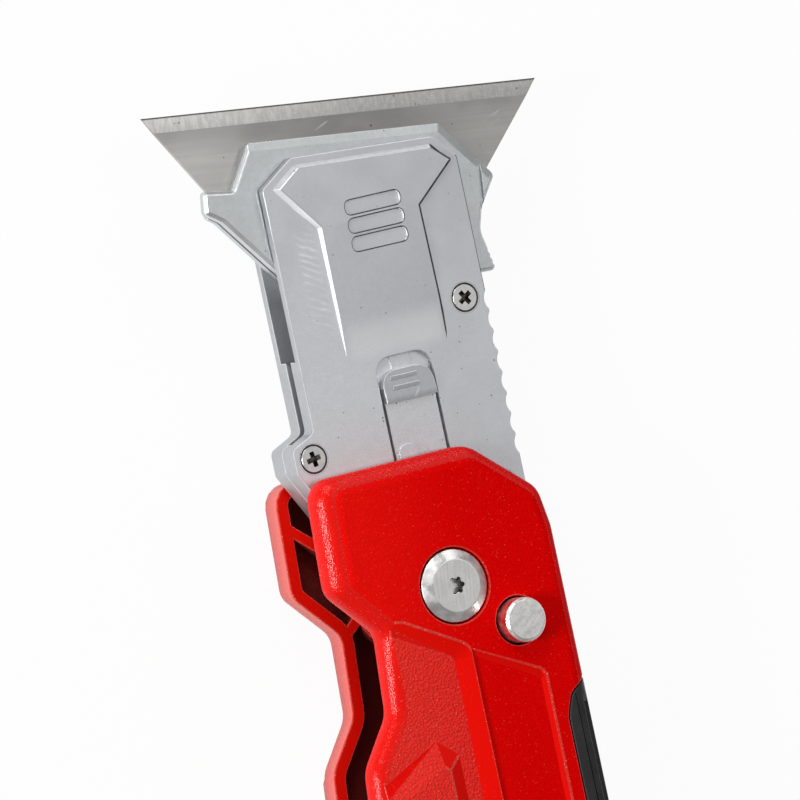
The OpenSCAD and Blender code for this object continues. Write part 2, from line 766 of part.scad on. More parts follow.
module grip_cut(inset = 0) {
  translate([0, 0, face_z - grip_d]) linear_extrude(big) polygon(outline(grip_corners, inset));
  translate([0, 0, face_z - grip_side]) linear_extrude(big) intersection() {
    polygon(outline(grip_corners, inset));
    translate([grip_spine_x, -big]) square(2 * big);
  }
}

boss_wall = 2;
rib_wall = 1.6;
peg_r = 1;
peg_l = 1.1;
peg_at = [[grip_spine_x - 0.1, -31.5], [grip_spine_x - 0.1, -41.5]];
butt_screw_at = [[-8, spacer_top - 5], [8.5, spacer_top - 5]];

// The moulded pocket inside a half: bosses, two stiffening ribs, and solid stock under the insert
module pocket_plan() {
  difference() {
    polygon(outline(handle_corners, lip_w));
    circle(r = hub_r + 1.2);
    translate(pin) circle(r = button_r + boss_wall + 1);
    translate([grip_x - 1.2, -big]) square([big, 2 * big]);
    translate([-belly_x, spacer_top - big]) square([2 * big, big]);
    for (p = [[-11.6, 8.4, -40], [-9.4, -3.4, 40], [-4, -30, 0], [-4, -52, 0], [-4, -74, 0]])
      translate([p.x, p.y]) rotate(p.z) square([12, rib_wall], center = true);
  }
}

module half_blank() {
  difference() {
    union() {
      difference() {
        half_body();
        face_cuts();
      }
      chevron_pad();
    }
    grip_cut();
    translate([0, 0, gap_z - 1]) linear_extrude(1 + face_z - floor_t - gap_z) pocket_plan();
    cylinder(r = barrel_r + run_c, h = big);
    for (p = peg_at)
      translate([p.x, p.y, gap_z - 1]) cylinder(r = peg_r + 0.03, h = 1 + peg_l + slide_c);
  }
}

bolt_seat_z = face_z - 2;
bolt_recess_r = bolt_head_r + 0.3;
button_hole_r = button_r + 0.3;
handle_screw_r = 1.25;
handle_screw_head_r = 2.4;
handle_screw_head_h = 1.5;
handle_screw_end = face_z - 2.2;

module front_handle() {
  color(red) lifted() difference() {
    half_blank();
    translate([0, 0, bolt_seat_z]) cylinder(r = bolt_recess_r, h = big);
    translate(pin) cylinder(r = button_r + run_c, h = big);
    translate([pin.x, pin.y, face_z - 1.2]) cylinder(r = button_hole_r, h = big);
    for (p = butt_screw_at)
      translate([p.x, p.y, 0]) cylinder(r = handle_screw_r + 0.02, h = handle_screw_end + slide_c);
  }
}

// Lock button's seat in the rear half: a blind pocket closed by the retainer
back_wall = 0.8;
flange_r = button_r + 1;
flange_t = 1;
pocket_z = -face_z + back_wall;
flange_low = pocket_z + lock_in + slide_c;
flange_high = flange_low + flange_t;
retainer_z = flange_high + lock_out + 0.05;
retainer_r = flange_r + 1.35;
barrel_seat_z = -face_z + 1.6;

module rear_handle() {
  color(red) lifted() difference() {
    mirror([0, 0, 1]) half_blank();
    mirror([0, 0, 1]) translate([0, 0, -barrel_seat_z]) cylinder(r = barrel_head_r + 0.2, h = big);
    translate([pin.x, pin.y, pocket_z]) cylinder(r = flange_r + 0.15, h = big);
    translate([pin.x, pin.y, retainer_z]) cylinder(r = retainer_r + 0.02, h = big);
    for (p = butt_screw_at)
      translate([p.x, p.y, -face_z]) {
        translate([0, 0, -1]) cylinder(r = handle_screw_r + slide_c, h = big);
        translate([0, 0, 0.2])
          cylinder(r1 = handle_screw_head_r + slide_c, r2 = handle_screw_r + slide_c, h = handle_screw_head_h);
        translate([0, 0, -1]) cylinder(r = handle_screw_head_r + slide_c, h = 1.2 + eps);
      }
  }
}

// The insert stands a little clear of its place, and a groove runs along its shoulder
grip_line = 0.15;
groove_r = 0.75;
groove_turn = 45;
groove_top = grip_top - 3.6;

module grip_blank() {
  difference() {
    intersection() {
      half_body();
      grip_cut(grip_line);
    }
    translate([spine_x - edge_r, groove_top, face_z - edge_r]) rotate([0, -groove_turn, 0])
      translate([edge_r + 0.1, 0, 0]) rotate([90, 0, 0]) cylinder(r = groove_r, h = groove_top - grip_low - 4);
  }
}

module front_grip() {
  color(soft_black) lifted() grip_blank();
}

module rear_grip() {
  color(soft_black) lifted() mirror([0, 0, 1]) grip_blank();
}

// Spacers between the halves: one with pegs at the spine, one screwed through at the butt
back_spacer_top = -27.5;
back_spacer_low = -45.5;
back_spacer_x = -head_left + spine_gap;

module back_spacer() {
  color(soft_black) lifted() {
    translate([0, 0, -gap_z]) linear_extrude(handle_gap)
      polygon(outline(box_corners(back_spacer_x, back_spacer_low, spine_x - spacer_inset, back_spacer_top, 1)));
    for (p = peg_at)
      translate([p.x, p.y, -gap_z - peg_l]) cylinder(r = peg_r, h = handle_gap + 2 * peg_l);
  }
}

module butt_spacer() {
  color(soft_black) lifted() difference() {
    translate([0, 0, -gap_z]) linear_extrude(handle_gap) intersection() {
      polygon(outline(handle_corners, 0.6));
      translate([-big / 2, spacer_top - big]) square(big);
    }
    for (p = butt_screw_at)
      translate([p.x, p.y, -big / 2]) cylinder(r = handle_screw_r + slide_c, h = big);
  }
}

module handle_screws() {
  slot_d = 0.6;
  color(bright) lifted()
    for (p = butt_screw_at)
      translate([p.x, p.y, 0]) difference() {
        union() {
          translate([0, 0, -face_z + 0.2])
            cylinder(r1 = handle_screw_head_r, r2 = handle_screw_r, h = handle_screw_head_h);
          translate([0, 0, -face_z + handle_screw_head_h])
            cylinder(r = handle_screw_r, h = face_z - handle_screw_head_h + handle_screw_end);
        }
        for (a = [0, 90])
          rotate(a + 30) translate([-1.4, -0.35, -face_z - 1]) cube([2.8, 0.7, 1.2 + slot_d]);
      }
}

// Fold pivot: a bolt from the front in a barrel from the rear, and a thrust washer on each side
lobe_r = 0.3;
lobe_ring_r = 0.95;
drive_d = 1.3;

module pivot_bolt() {
  top = face_z + bolt_proud;
  color(bright) lifted() difference() {
    rotate_extrude() polygon([
      [0, -gap_z + 1], [bolt_r, -gap_z + 1], [bolt_r, bolt_seat_z], [bolt_head_r, bolt_seat_z],
      [bolt_head_r, face_z - 0.2], [bolt_head_r - 1.4, top], [0, top]
    ]);
    translate([0, 0, top - drive_d]) cylinder(r = lobe_ring_r, h = big);
    for (a = [0:60:300])
      rotate(a) translate([lobe_ring_r, 0, top - drive_d]) cylinder(r = lobe_r, h = big);
  }
}

module pivot_barrel() {
  slot_t = 1.2;
  color(bright) lifted() difference() {
    rotate_extrude() polygon([
      [0, -face_z + 0.3], [barrel_head_r - 0.4, -face_z + 0.3], [barrel_head_r, -face_z + 0.7],
      [barrel_head_r, barrel_seat_z], [barrel_r, barrel_seat_z], [barrel_r, bolt_seat_z - 0.2],
      [0, bolt_seat_z - 0.2]
    ]);
    translate([0, 0, -gap_z]) cylinder(r = bolt_r + 0.02, h = big);
    translate([-big / 2, -slot_t / 2, -face_z - 1]) cube([big, slot_t, 1.9]);
  }
}

module washer() {
  translate([0, 0, head_z + run_c]) difference() {
    cylinder(r = hub_r - 0.4, h = gap_z - head_z - run_c);
    translate([0, 0, -1]) cylinder(r = barrel_r + run_c, h = big);
  }
}

module front_washer() {
  color(bronze) lifted() washer();
}

module rear_washer() {
  color(bronze) lifted() mirror([0, 0, 1]) washer();
}

// Lock button: pressed, its neck lets the plate turn past; let out, its shoulder fills a notch
neck_low = -lock_plate_t / 2 - 0.3;
neck_high = lock_plate_t / 2 + lock_in + 0.3;
spring_bore_r = button_r - 0.8;
spring_bore_top = neck_low - 2.7;
lock_spring_r = spring_bore_r - 0.45;
lock_wire_r = 0.25;

module lock_button() {
  top = face_z + button_proud;
  color(bright) lifted() translate([pin.x, pin.y, 0]) rotate_extrude() polygon([
    [0, spring_bore_top], [spring_bore_r, spring_bore_top], [spring_bore_r, flange_low], [flange_r, flange_low],
    [flange_r, flange_high], [button_r, flange_high], [button_r, neck_low], [neck_r, neck_low],
    [neck_r, neck_high], [button_r, neck_high], [button_r, top - 0.4], [button_r - 0.4, top], [0, top]
  ]);
}

module lock_spring() {
  color(bright) lifted() translate([pin.x, pin.y, pocket_z])
    coil(lock_spring_r, lock_wire_r, spring_bore_top - pocket_z, 5);
}

module plunger_retainer() {
  color(steel) lifted() translate([pin.x, pin.y, retainer_z]) difference() {
    cylinder(r = retainer_r, h = retainer_t);
    translate([0, 0, -1]) cylinder(r = button_r + run_c, h = big);
  }
}

blade();
front_jaw();
rear_jaw();
carrier_rivets();
front_head_shell();
rear_head_shell();
head_screws();
lock_plate();
lock_slider();
slider_spring();
front_handle();
rear_handle();
front_grip();
rear_grip();
back_spacer();
butt_spacer();
handle_screws();
pivot_bolt();
pivot_barrel();
front_washer();
rear_washer();
lock_button();
lock_spring();
plunger_retainer();
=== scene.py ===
import json
import math

import bmesh
import bpy
from mathutils import Matrix, Vector

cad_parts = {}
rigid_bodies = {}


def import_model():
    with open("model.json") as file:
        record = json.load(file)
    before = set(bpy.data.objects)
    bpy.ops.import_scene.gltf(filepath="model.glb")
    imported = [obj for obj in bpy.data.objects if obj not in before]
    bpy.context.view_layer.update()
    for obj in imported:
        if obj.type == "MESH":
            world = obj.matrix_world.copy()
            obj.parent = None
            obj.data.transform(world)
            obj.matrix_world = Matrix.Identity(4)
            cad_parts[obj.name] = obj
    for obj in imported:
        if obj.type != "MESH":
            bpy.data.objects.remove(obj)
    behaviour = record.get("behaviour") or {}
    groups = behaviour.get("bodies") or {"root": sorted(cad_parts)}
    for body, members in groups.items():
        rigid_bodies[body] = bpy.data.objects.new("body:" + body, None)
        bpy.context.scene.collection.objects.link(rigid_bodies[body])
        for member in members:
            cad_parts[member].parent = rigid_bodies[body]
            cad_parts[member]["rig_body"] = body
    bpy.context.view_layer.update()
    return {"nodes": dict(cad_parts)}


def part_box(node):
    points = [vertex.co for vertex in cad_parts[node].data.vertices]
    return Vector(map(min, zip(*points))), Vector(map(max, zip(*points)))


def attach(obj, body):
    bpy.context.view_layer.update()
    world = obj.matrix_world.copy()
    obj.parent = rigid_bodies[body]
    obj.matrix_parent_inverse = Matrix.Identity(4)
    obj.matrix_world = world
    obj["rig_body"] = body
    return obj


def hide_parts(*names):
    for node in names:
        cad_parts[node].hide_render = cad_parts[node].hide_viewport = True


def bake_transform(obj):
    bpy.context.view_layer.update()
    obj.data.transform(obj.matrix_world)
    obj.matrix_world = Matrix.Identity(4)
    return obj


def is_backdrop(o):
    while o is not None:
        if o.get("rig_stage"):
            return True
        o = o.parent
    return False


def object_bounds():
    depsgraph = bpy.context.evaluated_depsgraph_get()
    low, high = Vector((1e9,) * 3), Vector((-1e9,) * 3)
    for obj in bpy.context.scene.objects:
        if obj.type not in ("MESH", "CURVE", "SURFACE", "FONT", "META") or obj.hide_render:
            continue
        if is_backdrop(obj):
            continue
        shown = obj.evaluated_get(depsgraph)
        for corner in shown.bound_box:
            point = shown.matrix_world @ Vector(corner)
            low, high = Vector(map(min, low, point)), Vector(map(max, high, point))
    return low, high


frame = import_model()
scene = bpy.context.scene

# Blade: a trapezoid of rolled tool steel, 0.6 mm thick, clamped crosswise between the jaws. Its long side
# is ground to an edge on both faces, which leaves a paler band with the marks of the wheel across it.
mm = 0.001
weld = 0.002 * mm
wide_flat = 0.85 * mm
swivel = Vector((2.8, 54.5, 0)) * mm
blade_tilt = math.radians(-6.1)
blade_flat, blade_edge = range(2)


def colour(red, green, blue):
    """A shader colour from screen values of 0 to 255."""
    shares = [v / 255 for v in (red, green, blue)]
    return (*[s / 12.92 if s <= 0.04045 else ((s + 0.055) / 1.055) ** 2.4 for s in shares], 1)


class Wiring:
    """Short ways to add nodes to one node tree and to join them."""

    def __init__(self, tree):
        self.tree = tree

    def plug(self, socket, value):
        """Joins an output to a socket, or sets a plain value on the socket."""
        if isinstance(value, bpy.types.NodeSocket):
            self.tree.links.new(value, socket)
        else:
            socket.default_value = value

    def node(self, kind, given=None, **settings):
        """A new node with its settings, and with outputs or plain values on its inputs."""
        made = self.tree.nodes.new(kind)
        for name, value in settings.items():
            setattr(made, name, value)
        for name, value in (given or {}).items():
            self.plug(made.inputs[name], value)
        return made

    def noise(self, where, scale, detail=3, roughness=0.5):
        given = {"Vector": where, "Scale": scale, "Detail": detail, "Roughness": roughness}
        return self.node("ShaderNodeTexNoise", given).outputs["Fac"]

    def cells(self, where, scale, feature="F1"):
        return self.node("ShaderNodeTexVoronoi", {"Vector": where, "Scale": scale}, feature=feature)

    def ramp(self, value, low, high, out_low=0.0, out_high=1.0):
        given = {"Value": value, "From Min": low, "From Max": high, "To Min": out_low, "To Max": out_high}
        return self.node("ShaderNodeMapRange", given, interpolation_type="SMOOTHSTEP").outputs["Result"]

    def maths(self, operation, *values):
        return self.node("ShaderNodeMath", dict(enumerate(values)), operation=operation).outputs["Value"]

    def mix(self, share, first, second):
        given = {"Factor": share, "A": first, "B": second}
        return self.node("ShaderNodeMix", given, data_type="RGBA").outputs["Result"]

    def both(self, first, second, share):
        """Two patterns added up, of which the second one has a share."""
        return self.maths("ADD", self.maths("MULTIPLY", first, 1 - share),
                          self.maths("MULTIPLY", second, share))

    def lay(self, under, pattern, share, tint):
        """A colour with a share of a tint over it where a pattern is."""
        return self.mix(self.maths("MULTIPLY", pattern, share), under, tint)


class Finish(Wiring):
    """A material with its Principled shader, fed by patterns that lie in the piece's own coordinates."""

    def __init__(self, name, base, metallic, roughness, specular=0.5):
        self.material = bpy.data.materials.new(name)
        self.material.use_nodes = True
        super().__init__(self.material.node_tree)
        self.shader = self.tree.nodes["Principled BSDF"]
        self.feed("Base Color", base)
        self.feed("Metallic", metallic)
        self.feed("Roughness", roughness)
        self.feed("Specular IOR Level", specular)

    def feed(self, socket, value):
        self.plug(self.shader.inputs[socket], value)

    def place(self, at=(0, 0, 0), turn=(0, 0, 0), stretch=(1, 1, 1)):
        """The piece's coordinates about a point, turned and stretched."""
        source = self.node("ShaderNodeTexCoord").outputs["Object"]
        given = {"Vector": source, "Location": at, "Rotation": turn}
        centred = self.node("ShaderNodeMapping", given, vector_type="TEXTURE").outputs["Vector"]
        given = {"Vector": centred, "Scale": stretch}
        return self.node("ShaderNodeMapping", given, vector_type="POINT").outputs["Vector"]

    def along(self, where, axis):
        """One coordinate of a place."""
        return self.node("ShaderNodeSeparateXYZ", {"Vector": where}).outputs[axis]

    def effect(self, tree, where, **numbers):
        """The value of a shared effect at a place."""
        return self.node("ShaderNodeGroup", {"Vector": where, **numbers}, node_tree=tree).outputs[0]

    def polish(self, pattern, least, most):
        """A roughness that follows a pattern."""
        self.feed("Roughness", self.ramp(pattern, 0.0, 1.0, least, most))

    def bump(self, height, strength, distance):
        given = {"Height": height, "Strength": strength, "Distance": distance}
        self.feed("Normal", self.node("ShaderNodeBump", given).outputs["Normal"])


def node_group(name, kind, given, result):
    """An empty node group with inputs of the kinds given by name and one result, and its ends to wire up."""
    tree = bpy.data.node_groups.new(name, kind + "NodeTree")
    for title, sort in given.items():
        tree.interface.new_socket(title, in_out="INPUT", socket_type="NodeSocket" + sort)
    tree.interface.new_socket(result, in_out="OUTPUT", socket_type="NodeSocket" + result)
    wires = Wiring(tree)
    return wires, wires.node("NodeGroupInput").outputs, wires.node("NodeGroupOutput").inputs[result]


wires, given, result = node_group("clouds", "Shader", {"Vector": "Vector", "Scale": "Float"}, "Float")
billows = wires.noise(given["Vector"], given["Scale"], detail=4, roughness=0.55)
wires.plug(result, wires.ramp(billows, 0.32, 0.68))
clouds = wires.tree

wires, given, result = node_group(
    "flecks", "Shader", {"Vector": "Vector", "Scale": "Float", "Share": "Float"}, "Float")
least_fleck = 0.08
fleck_range = 0.22
spots = wires.cells(given["Vector"], given["Scale"]).outputs
chance = wires.node("ShaderNodeSeparateColor", {"Color": spots["Color"]}).outputs
chosen = wires.maths("LESS_THAN", chance["Red"], given["Share"])
size = wires.maths("MULTIPLY_ADD", chance["Green"], fleck_range, least_fleck)
inside = wires.maths("LESS_THAN", spots["Distance"], size)
wires.plug(result, wires.maths("MULTIPLY", chosen, inside))
flecks = wires.tree


def stand(name, data):
    """Puts a new object into the scene."""
    made = bpy.data.objects.new(name, data)
    scene.collection.objects.link(made)
    return made


def solid_copy(node, *finishes):
    """A copy of a solid in which the triangles of a flat are merged into whole faces. Its finishes get the
    slots 0, 1 and so on, and all of its faces are in slot 0 at first."""
    mesh = frame["nodes"][node].data.copy()
    mesh.materials.clear()
    bm = bmesh.new()
    bm.from_mesh(mesh)
    bmesh.ops.remove_doubles(bm, verts=bm.verts, dist=weld)
    bmesh.ops.dissolve_limit(bm, angle_limit=math.radians(0.3), verts=bm.verts, edges=bm.edges)
    for face in bm.faces:
        face.smooth = True
        face.material_index = 0
    bm.to_mesh(mesh)
    bm.free()
    for finish in finishes:
        mesh.materials.append(finish.material)
    return stand(node + "_piece", mesh)


def even_normals(mesh, flat_width=wide_flat):
    """Corner normals that keep each wide flat flat, and turn evenly over the narrow faces between flats."""
    same_level = 0.03 * mm
    same_flat = math.cos(math.radians(8))
    soft_turn = math.cos(math.radians(32))
    flat_of = []
    areas = {}
    for face in mesh.polygons:
        flat = (*(round(v, 2) for v in face.normal), round(face.normal.dot(face.center) / same_level))
        flat_of.append(flat)
        areas[flat] = areas.get(flat, 0) + face.area
    widths = {}
    around = [[] for _ in mesh.vertices]
    for face, flat in zip(mesh.polygons, flat_of):
        corners = [mesh.vertices[v].co for v in face.vertices]
        rim = sum((a - b).length for a, b in zip(corners, corners[1:] + corners[:1]))
        widths[flat] = max(widths.get(flat, 0), face.area / rim * 2)
        for v in face.vertices:
            around[v].append((face.normal.copy(), areas[flat]))
    normals = []
    for face, flat in zip(mesh.polygons, flat_of):
        turn = same_flat if widths[flat] > flat_width else soft_turn
        for v in face.vertices:
            total = sum((n * area for n, area in around[v] if n.dot(face.normal) > turn), Vector())
            normals.append(total.normalized() if total.length > 0 else face.normal.copy())
    mesh.normals_split_custom_set(normals)


def settle(piece, node):
    """Puts a piece in the place of its solid, on the same body."""
    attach(piece, frame["nodes"][node]["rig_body"])
    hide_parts(node)


def blade_place(finish, stretch=(1, 1, 1), turn=0.0):
    """Coordinates about the swivel with x along the blade's edge."""
    return finish.place(swivel, (0, 0, blade_tilt + turn), stretch)


rolled = Finish("rolled steel", colour(168, 165, 161), 1.0, 0.36)
ground = Finish("ground edge", colour(190, 187, 183), 1.0, 0.42)
blade = solid_copy("blade", rolled, ground)
to_blade = Matrix.Rotation(-blade_tilt, 3, "Z")
edge_reach = max((to_blade @ (v.co - swivel)).y for v in blade.data.vertices)

along_edge = rolled.along(blade_place(rolled), "X")
reach = rolled.along(blade_place(rolled), "Y")
streak = rolled.effect(clouds, blade_place(rolled, (0.04, 1, 1)), Scale=1500)
patch = rolled.effect(clouds, blade_place(rolled, (0.6, 1, 1)), Scale=170)
steel = rolled.mix(rolled.both(streak, patch, 0.55), colour(188, 186, 183), colour(206, 204, 201))
dark_middle = rolled.maths("ADD", rolled.ramp(along_edge, -26 * mm, -4 * mm, 0.0, 0.85),
                           rolled.ramp(along_edge, 8 * mm, 22 * mm, 0.0, -0.38))
steel = rolled.mix(dark_middle, steel, colour(126, 123, 120))
# Darker towards the ground band.
darker_near_grind = rolled.ramp(reach, edge_reach - 6.5 * mm, edge_reach - 2.6 * mm, 0.0, 0.6)
steel = rolled.mix(darker_near_grind, steel, colour(150, 148, 146))
scuffs = rolled.effect(flecks, blade_place(rolled, (0.1, 1, 1), math.radians(28)), Scale=1300, Share=0.2)
steel = rolled.lay(steel, scuffs, patch, colour(206, 203, 199))
pits = rolled.effect(flecks, blade_place(rolled), Scale=1500, Share=0.03)
rolled.feed("Base Color", rolled.lay(steel, pits, 0.8, colour(84, 79, 75)))
rolled.polish(patch, 0.32, 0.42)
rolled.bump(streak, 0.12, 0.02 * mm)

along_edge = ground.along(blade_place(ground), "X")
reach = ground.along(blade_place(ground), "Y")
wheel = ground.effect(clouds, blade_place(ground, (1, 0.16, 1)), Scale=2600)
mottle = ground.effect(clouds, blade_place(ground), Scale=1300)
marks = ground.both(wheel, mottle, 0.5)
steel = ground.mix(marks, colour(192, 190, 187), colour(234, 232, 229))
dark_end = ground.ramp(along_edge, -28 * mm, 10 * mm, 0.0, 0.6)
steel = ground.mix(dark_end, steel, colour(150, 148, 145))
dabs = ground.effect(flecks, blade_place(ground), Scale=2300, Share=0.3)
steel = ground.lay(steel, dabs, 0.35, colour(240, 238, 235))
pits = ground.effect(flecks, blade_place(ground), Scale=1600, Share=0.06)
steel = ground.lay(steel, pits, 0.7, colour(110, 105, 101))
worn = ground.ramp(reach, edge_reach - 0.3 * mm, edge_reach - 0.12 * mm)
ground.feed("Base Color", ground.mix(worn, steel, colour(92, 89, 87)))
ground.polish(mottle, 0.36, 0.5)
ground.bump(marks, 0.3, 0.02 * mm)

for face in blade.data.polygons:
    leans_a_little = 0.9 < abs(face.normal.z) < 0.9995
    face.material_index = blade_edge if leans_a_little else blade_flat
even_normals(blade.data)
settle(blade, "blade")

# Carrier: two die-cast jaws riveted together round the blade. Each has a round boss that turns in a seat in
# its shell of the head, and the notched wing on the right is for the thumb.
jaw_body, jaw_edge, jaw_shaded_slope = range(3)


def casting(name, dark, pale, roughness):
    """A satin die casting: faint clouds, tiny pits, a few pale scuffs and a very fine grain."""
    made = Finish(name, pale, 0.9, roughness)
    where = made.place()
    cloud = made.effect(clouds, where, Scale=150)
    fine = made.effect(clouds, where, Scale=1100)
    metal = made.mix(made.both(cloud, fine, 0.45), dark, pale)
    slant = made.place(turn=(0, 0, 0.9), stretch=(0.06, 1, 1))
    scuffs = made.effect(flecks, slant, Scale=1500, Share=0.02)
    metal = made.lay(metal, scuffs, 0.35, colour(236, 238, 240))
    pits = made.effect(flecks, where, Scale=1900, Share=0.035)
    metal = made.lay(metal, pits, 0.75, colour(96, 97, 99))
    grain = made.ramp(made.noise(where, 4600, 2), 0.38, 0.68, 0.0, 0.13)
    made.feed("Base Color", made.mix(grain, metal, colour(150, 152, 154)))
    made.polish(cloud, roughness - 0.04, roughness + 0.05)
    made.bump(made.noise(where, 3200, 2), 0.12, 0.03 * mm)
    return made


def make_plain(piece):
    """Turns what a piece's modifiers build into its plain mesh."""
    ready = piece.evaluated_get(bpy.context.evaluated_depsgraph_get())
    piece.data = bpy.data.meshes.new_from_object(ready)
    piece.modifiers.clear()


def round_edges(piece, width, steps=2, sharper_than=28, flat_width=wide_flat,
                finish=0, rounded=(), worn=None):
    """Breaks the outer sharp edges of a piece and keeps its flats flat. finish is the slot of the new faces,
    and the faces in the rounded slots are roundings already, so the shallow edges between them stay. Two
    edges that run into a thin tip stay sharp too. worn tells which edges are broken twice as wide."""
    shallow = 40
    thin_tip = math.cos(math.radians(15))
    bm = bmesh.new()
    bm.from_mesh(piece.data)
    weight = bm.edges.layers.float.new("bevel_weight_edge")
    for edge in bm.edges:
        if len(edge.link_faces) == 2 and edge.is_convex:
            angle = math.degrees(edge.calc_face_angle(0))
            in_rounding = angle < shallow and any(f.material_index in rounded for f in edge.link_faces)
            if angle > sharper_than and not in_rounding:
                edge[weight] = 1.0 if worn is not None and worn(edge) else 0.5
    for vert in bm.verts:
        broken = [e for e in vert.link_edges if e[weight] > 0]
        ways = [(e.other_vert(vert).co - vert.co).normalized() for e in broken]
        for place, edge in enumerate(broken):
            others = ways[:place] + ways[place + 1:]
            if any(ways[place].dot(way) > thin_tip for way in others):
                edge[weight] = 0.0
    bm.to_mesh(piece.data)
    bm.free()
    bevel = piece.modifiers.new("broken edges", "BEVEL")
    bevel.width = 2 * width
    bevel.segments = steps
    bevel.limit_method = "WEIGHT"
    bevel.use_clamp_overlap = False
    bevel.loop_slide = False
    bevel.material = finish
    make_plain(piece)
    even_normals(piece.data, flat_width)


jaw_cast = casting("jaw casting", colour(203, 207, 208), colour(217, 221, 222), 0.42)
# Worn edges, paler than the casting. On the head's top facet, the same paler finish is painted light from
# above.
worn_and_lit_edge = casting("worn casting edge", colour(222, 225, 227), colour(238, 240, 242), 0.36)
# Painted shade: a darker copy of the jaw casting for the bevels that slope up.
shaded_jaw_bevel = casting("bevel of the jaws", colour(192, 196, 197), colour(206, 210, 211), 0.46)
for node in ("front_jaw", "rear_jaw"):
    jaw = solid_copy(node, jaw_cast, worn_and_lit_edge, shaded_jaw_bevel)
    for face in jaw.data.polygons:
        slopes_up = face.normal.y > 0.2 and 0.3 < face.normal.z < 0.95
        face.material_index = jaw_shaded_slope if slopes_up else jaw_body
    round_edges(jaw, 0.14 * mm, finish=jaw_edge)
    settle(jaw, node)

# Carrier rivets: two plain steel rivets through the jaws, left and right of the boss, set flush so that the
# carrier can turn between the shells. Both are made by one node tree.


def moved(wires, mesh, **changes):
    """A mesh with a Translation, a Rotation or a Scale."""
    return wires.node("GeometryNodeTransform", {"Geometry": mesh, **changes}).outputs["Geometry"]


def frustum(wires, low, high, depth, at, sides=64):
    """A cone from one radius up to another, with its lower end at a height."""
    sizes = {"Vertices": sides, "Radius Bottom": low, "Radius Top": high, "Depth": depth}
    cone = wires.node("GeometryNodeMeshCone", sizes).outputs["Mesh"]
    lift = wires.node("ShaderNodeCombineXYZ", {"Z": at}).outputs["Vector"]
    return moved(wires, cone, Translation=lift)


def joined(wires, *meshes):
    """One solid from several that overlap."""
    made = wires.node("GeometryNodeMeshBoolean", operation="UNION", solver="EXACT")
    for mesh in meshes:
        wires.plug(made.inputs["Mesh 2"], mesh)
    return made.outputs["Mesh"]


def painted(wires, mesh, finish, part=True):
    """A mesh with a finish on all of it, or on a part."""
    given = {"Geometry": mesh, "Selection": part, "Material": finish}
    return wires.node("GeometryNodeSetMaterial", given).outputs["Geometry"]


def on_points(wires, points, mesh, over):
    """The solid at each point, turned by the point's own angle, and turned over if driven from behind."""
    turn = wires.node("GeometryNodeInputNamedAttribute", {"Name": "turn"}, data_type="FLOAT")
    angles = wires.node("ShaderNodeCombineXYZ", {"X": over, "Z": turn.outputs["Attribute"]})
    given = {"Points": points, "Instance": mesh, "Rotation": angles.outputs["Vector"]}
    placed = wires.node("GeometryNodeInstanceOnPoints", given).outputs["Instances"]
    return wires.node("GeometryNodeRealizeInstances", {"Geometry": placed}).outputs["Geometry"]


def fasteners(node, tree, places, turns, values):
    """The fasteners of one node as one plain mesh, from points with a turn each."""
    mesh = bpy.data.meshes.new(node + "_piece")
    mesh.from_pydata(places, [], [])
    mesh.attributes.new("turn", "FLOAT", "POINT").data.foreach_set("value", turns)
    piece = stand(node + "_piece", mesh)
    maker = piece.modifiers.new("made", "NODES")
    maker.node_group = tree
    for socket in tree.interface.items_tree:
        if socket.in_out == "INPUT" and socket.name in values:
            maker[socket.identifier] = values[socket.name]
    make_plain(piece)
    for face in piece.data.polygons:
        face.use_smooth = True
    even_normals(piece.data)
    settle(piece, node)


def centres(node, height):
    """The middle of each loose solid of a node, at a height."""
    bm = bmesh.new()
    bm.from_mesh(frame["nodes"][node].data)
    bmesh.ops.remove_doubles(bm, verts=bm.verts, dist=weld)
    left = set(bm.verts)
    found = []
    while left:
        group = [left.pop()]
        for vert in group:
            fresh = [e.other_vert(vert) for e in vert.link_edges if e.other_vert(vert) in left]
            left.difference_update(fresh)
            group.extend(dict.fromkeys(fresh))
        ends = [[pick(v.co[i] for v in group) for pick in (min, max)] for i in (0, 1)]
        found.append((sum(ends[0]) / 2, sum(ends[1]) / 2, height))
    bm.free()
    return sorted(found)


plated = Finish("bright plated steel", colour(206, 206, 204), 1.0, 0.28)
where = plated.place()
film = plated.effect(clouds, where, Scale=700)
metal = plated.mix(film, colour(222, 222, 220), colour(250, 250, 248))
pits = plated.effect(flecks, where, Scale=1500, Share=0.05)
plated.feed("Base Color", plated.lay(metal, pits, 0.5, colour(128, 126, 122)))
plated.polish(film, 0.3, 0.42)
plated.bump(plated.noise(where, 2600, 2), 0.06, 0.02 * mm)

rivet_sizes = dict.fromkeys(("Radius", "Length", "Chamfer"), "Float")
wires, given, result = node_group(
    "rivet", "Geometry", {"Geometry": "Geometry", **rivet_sizes, "Finish": "Material"}, "Geometry")
rim = wires.maths("SUBTRACT", given["Radius"], given["Chamfer"])
shank = wires.maths("SUBTRACT", given["Length"], wires.maths("MULTIPLY", given["Chamfer"], 2.0))
low_end = frustum(wires, rim, given["Radius"], given["Chamfer"], 0.0)
middle = frustum(wires, given["Radius"], given["Radius"], shank, given["Chamfer"])
high_end = frustum(wires, given["Radius"], rim, given["Chamfer"], wires.maths("ADD", shank, given["Chamfer"]))
real = on_points(wires, given["Geometry"], joined(wires, low_end, middle, high_end), 0.0)
wires.plug(result, painted(wires, real, given["Finish"]))
low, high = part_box("carrier_rivets")
fasteners("carrier_rivets", wires.tree, centres("carrier_rivets", low[2]), [0.0, 0.0],
          {"Radius": 1.3 * mm, "Length": high[2] - low[2], "Chamfer": 0.15 * mm, "Finish": plated.material})
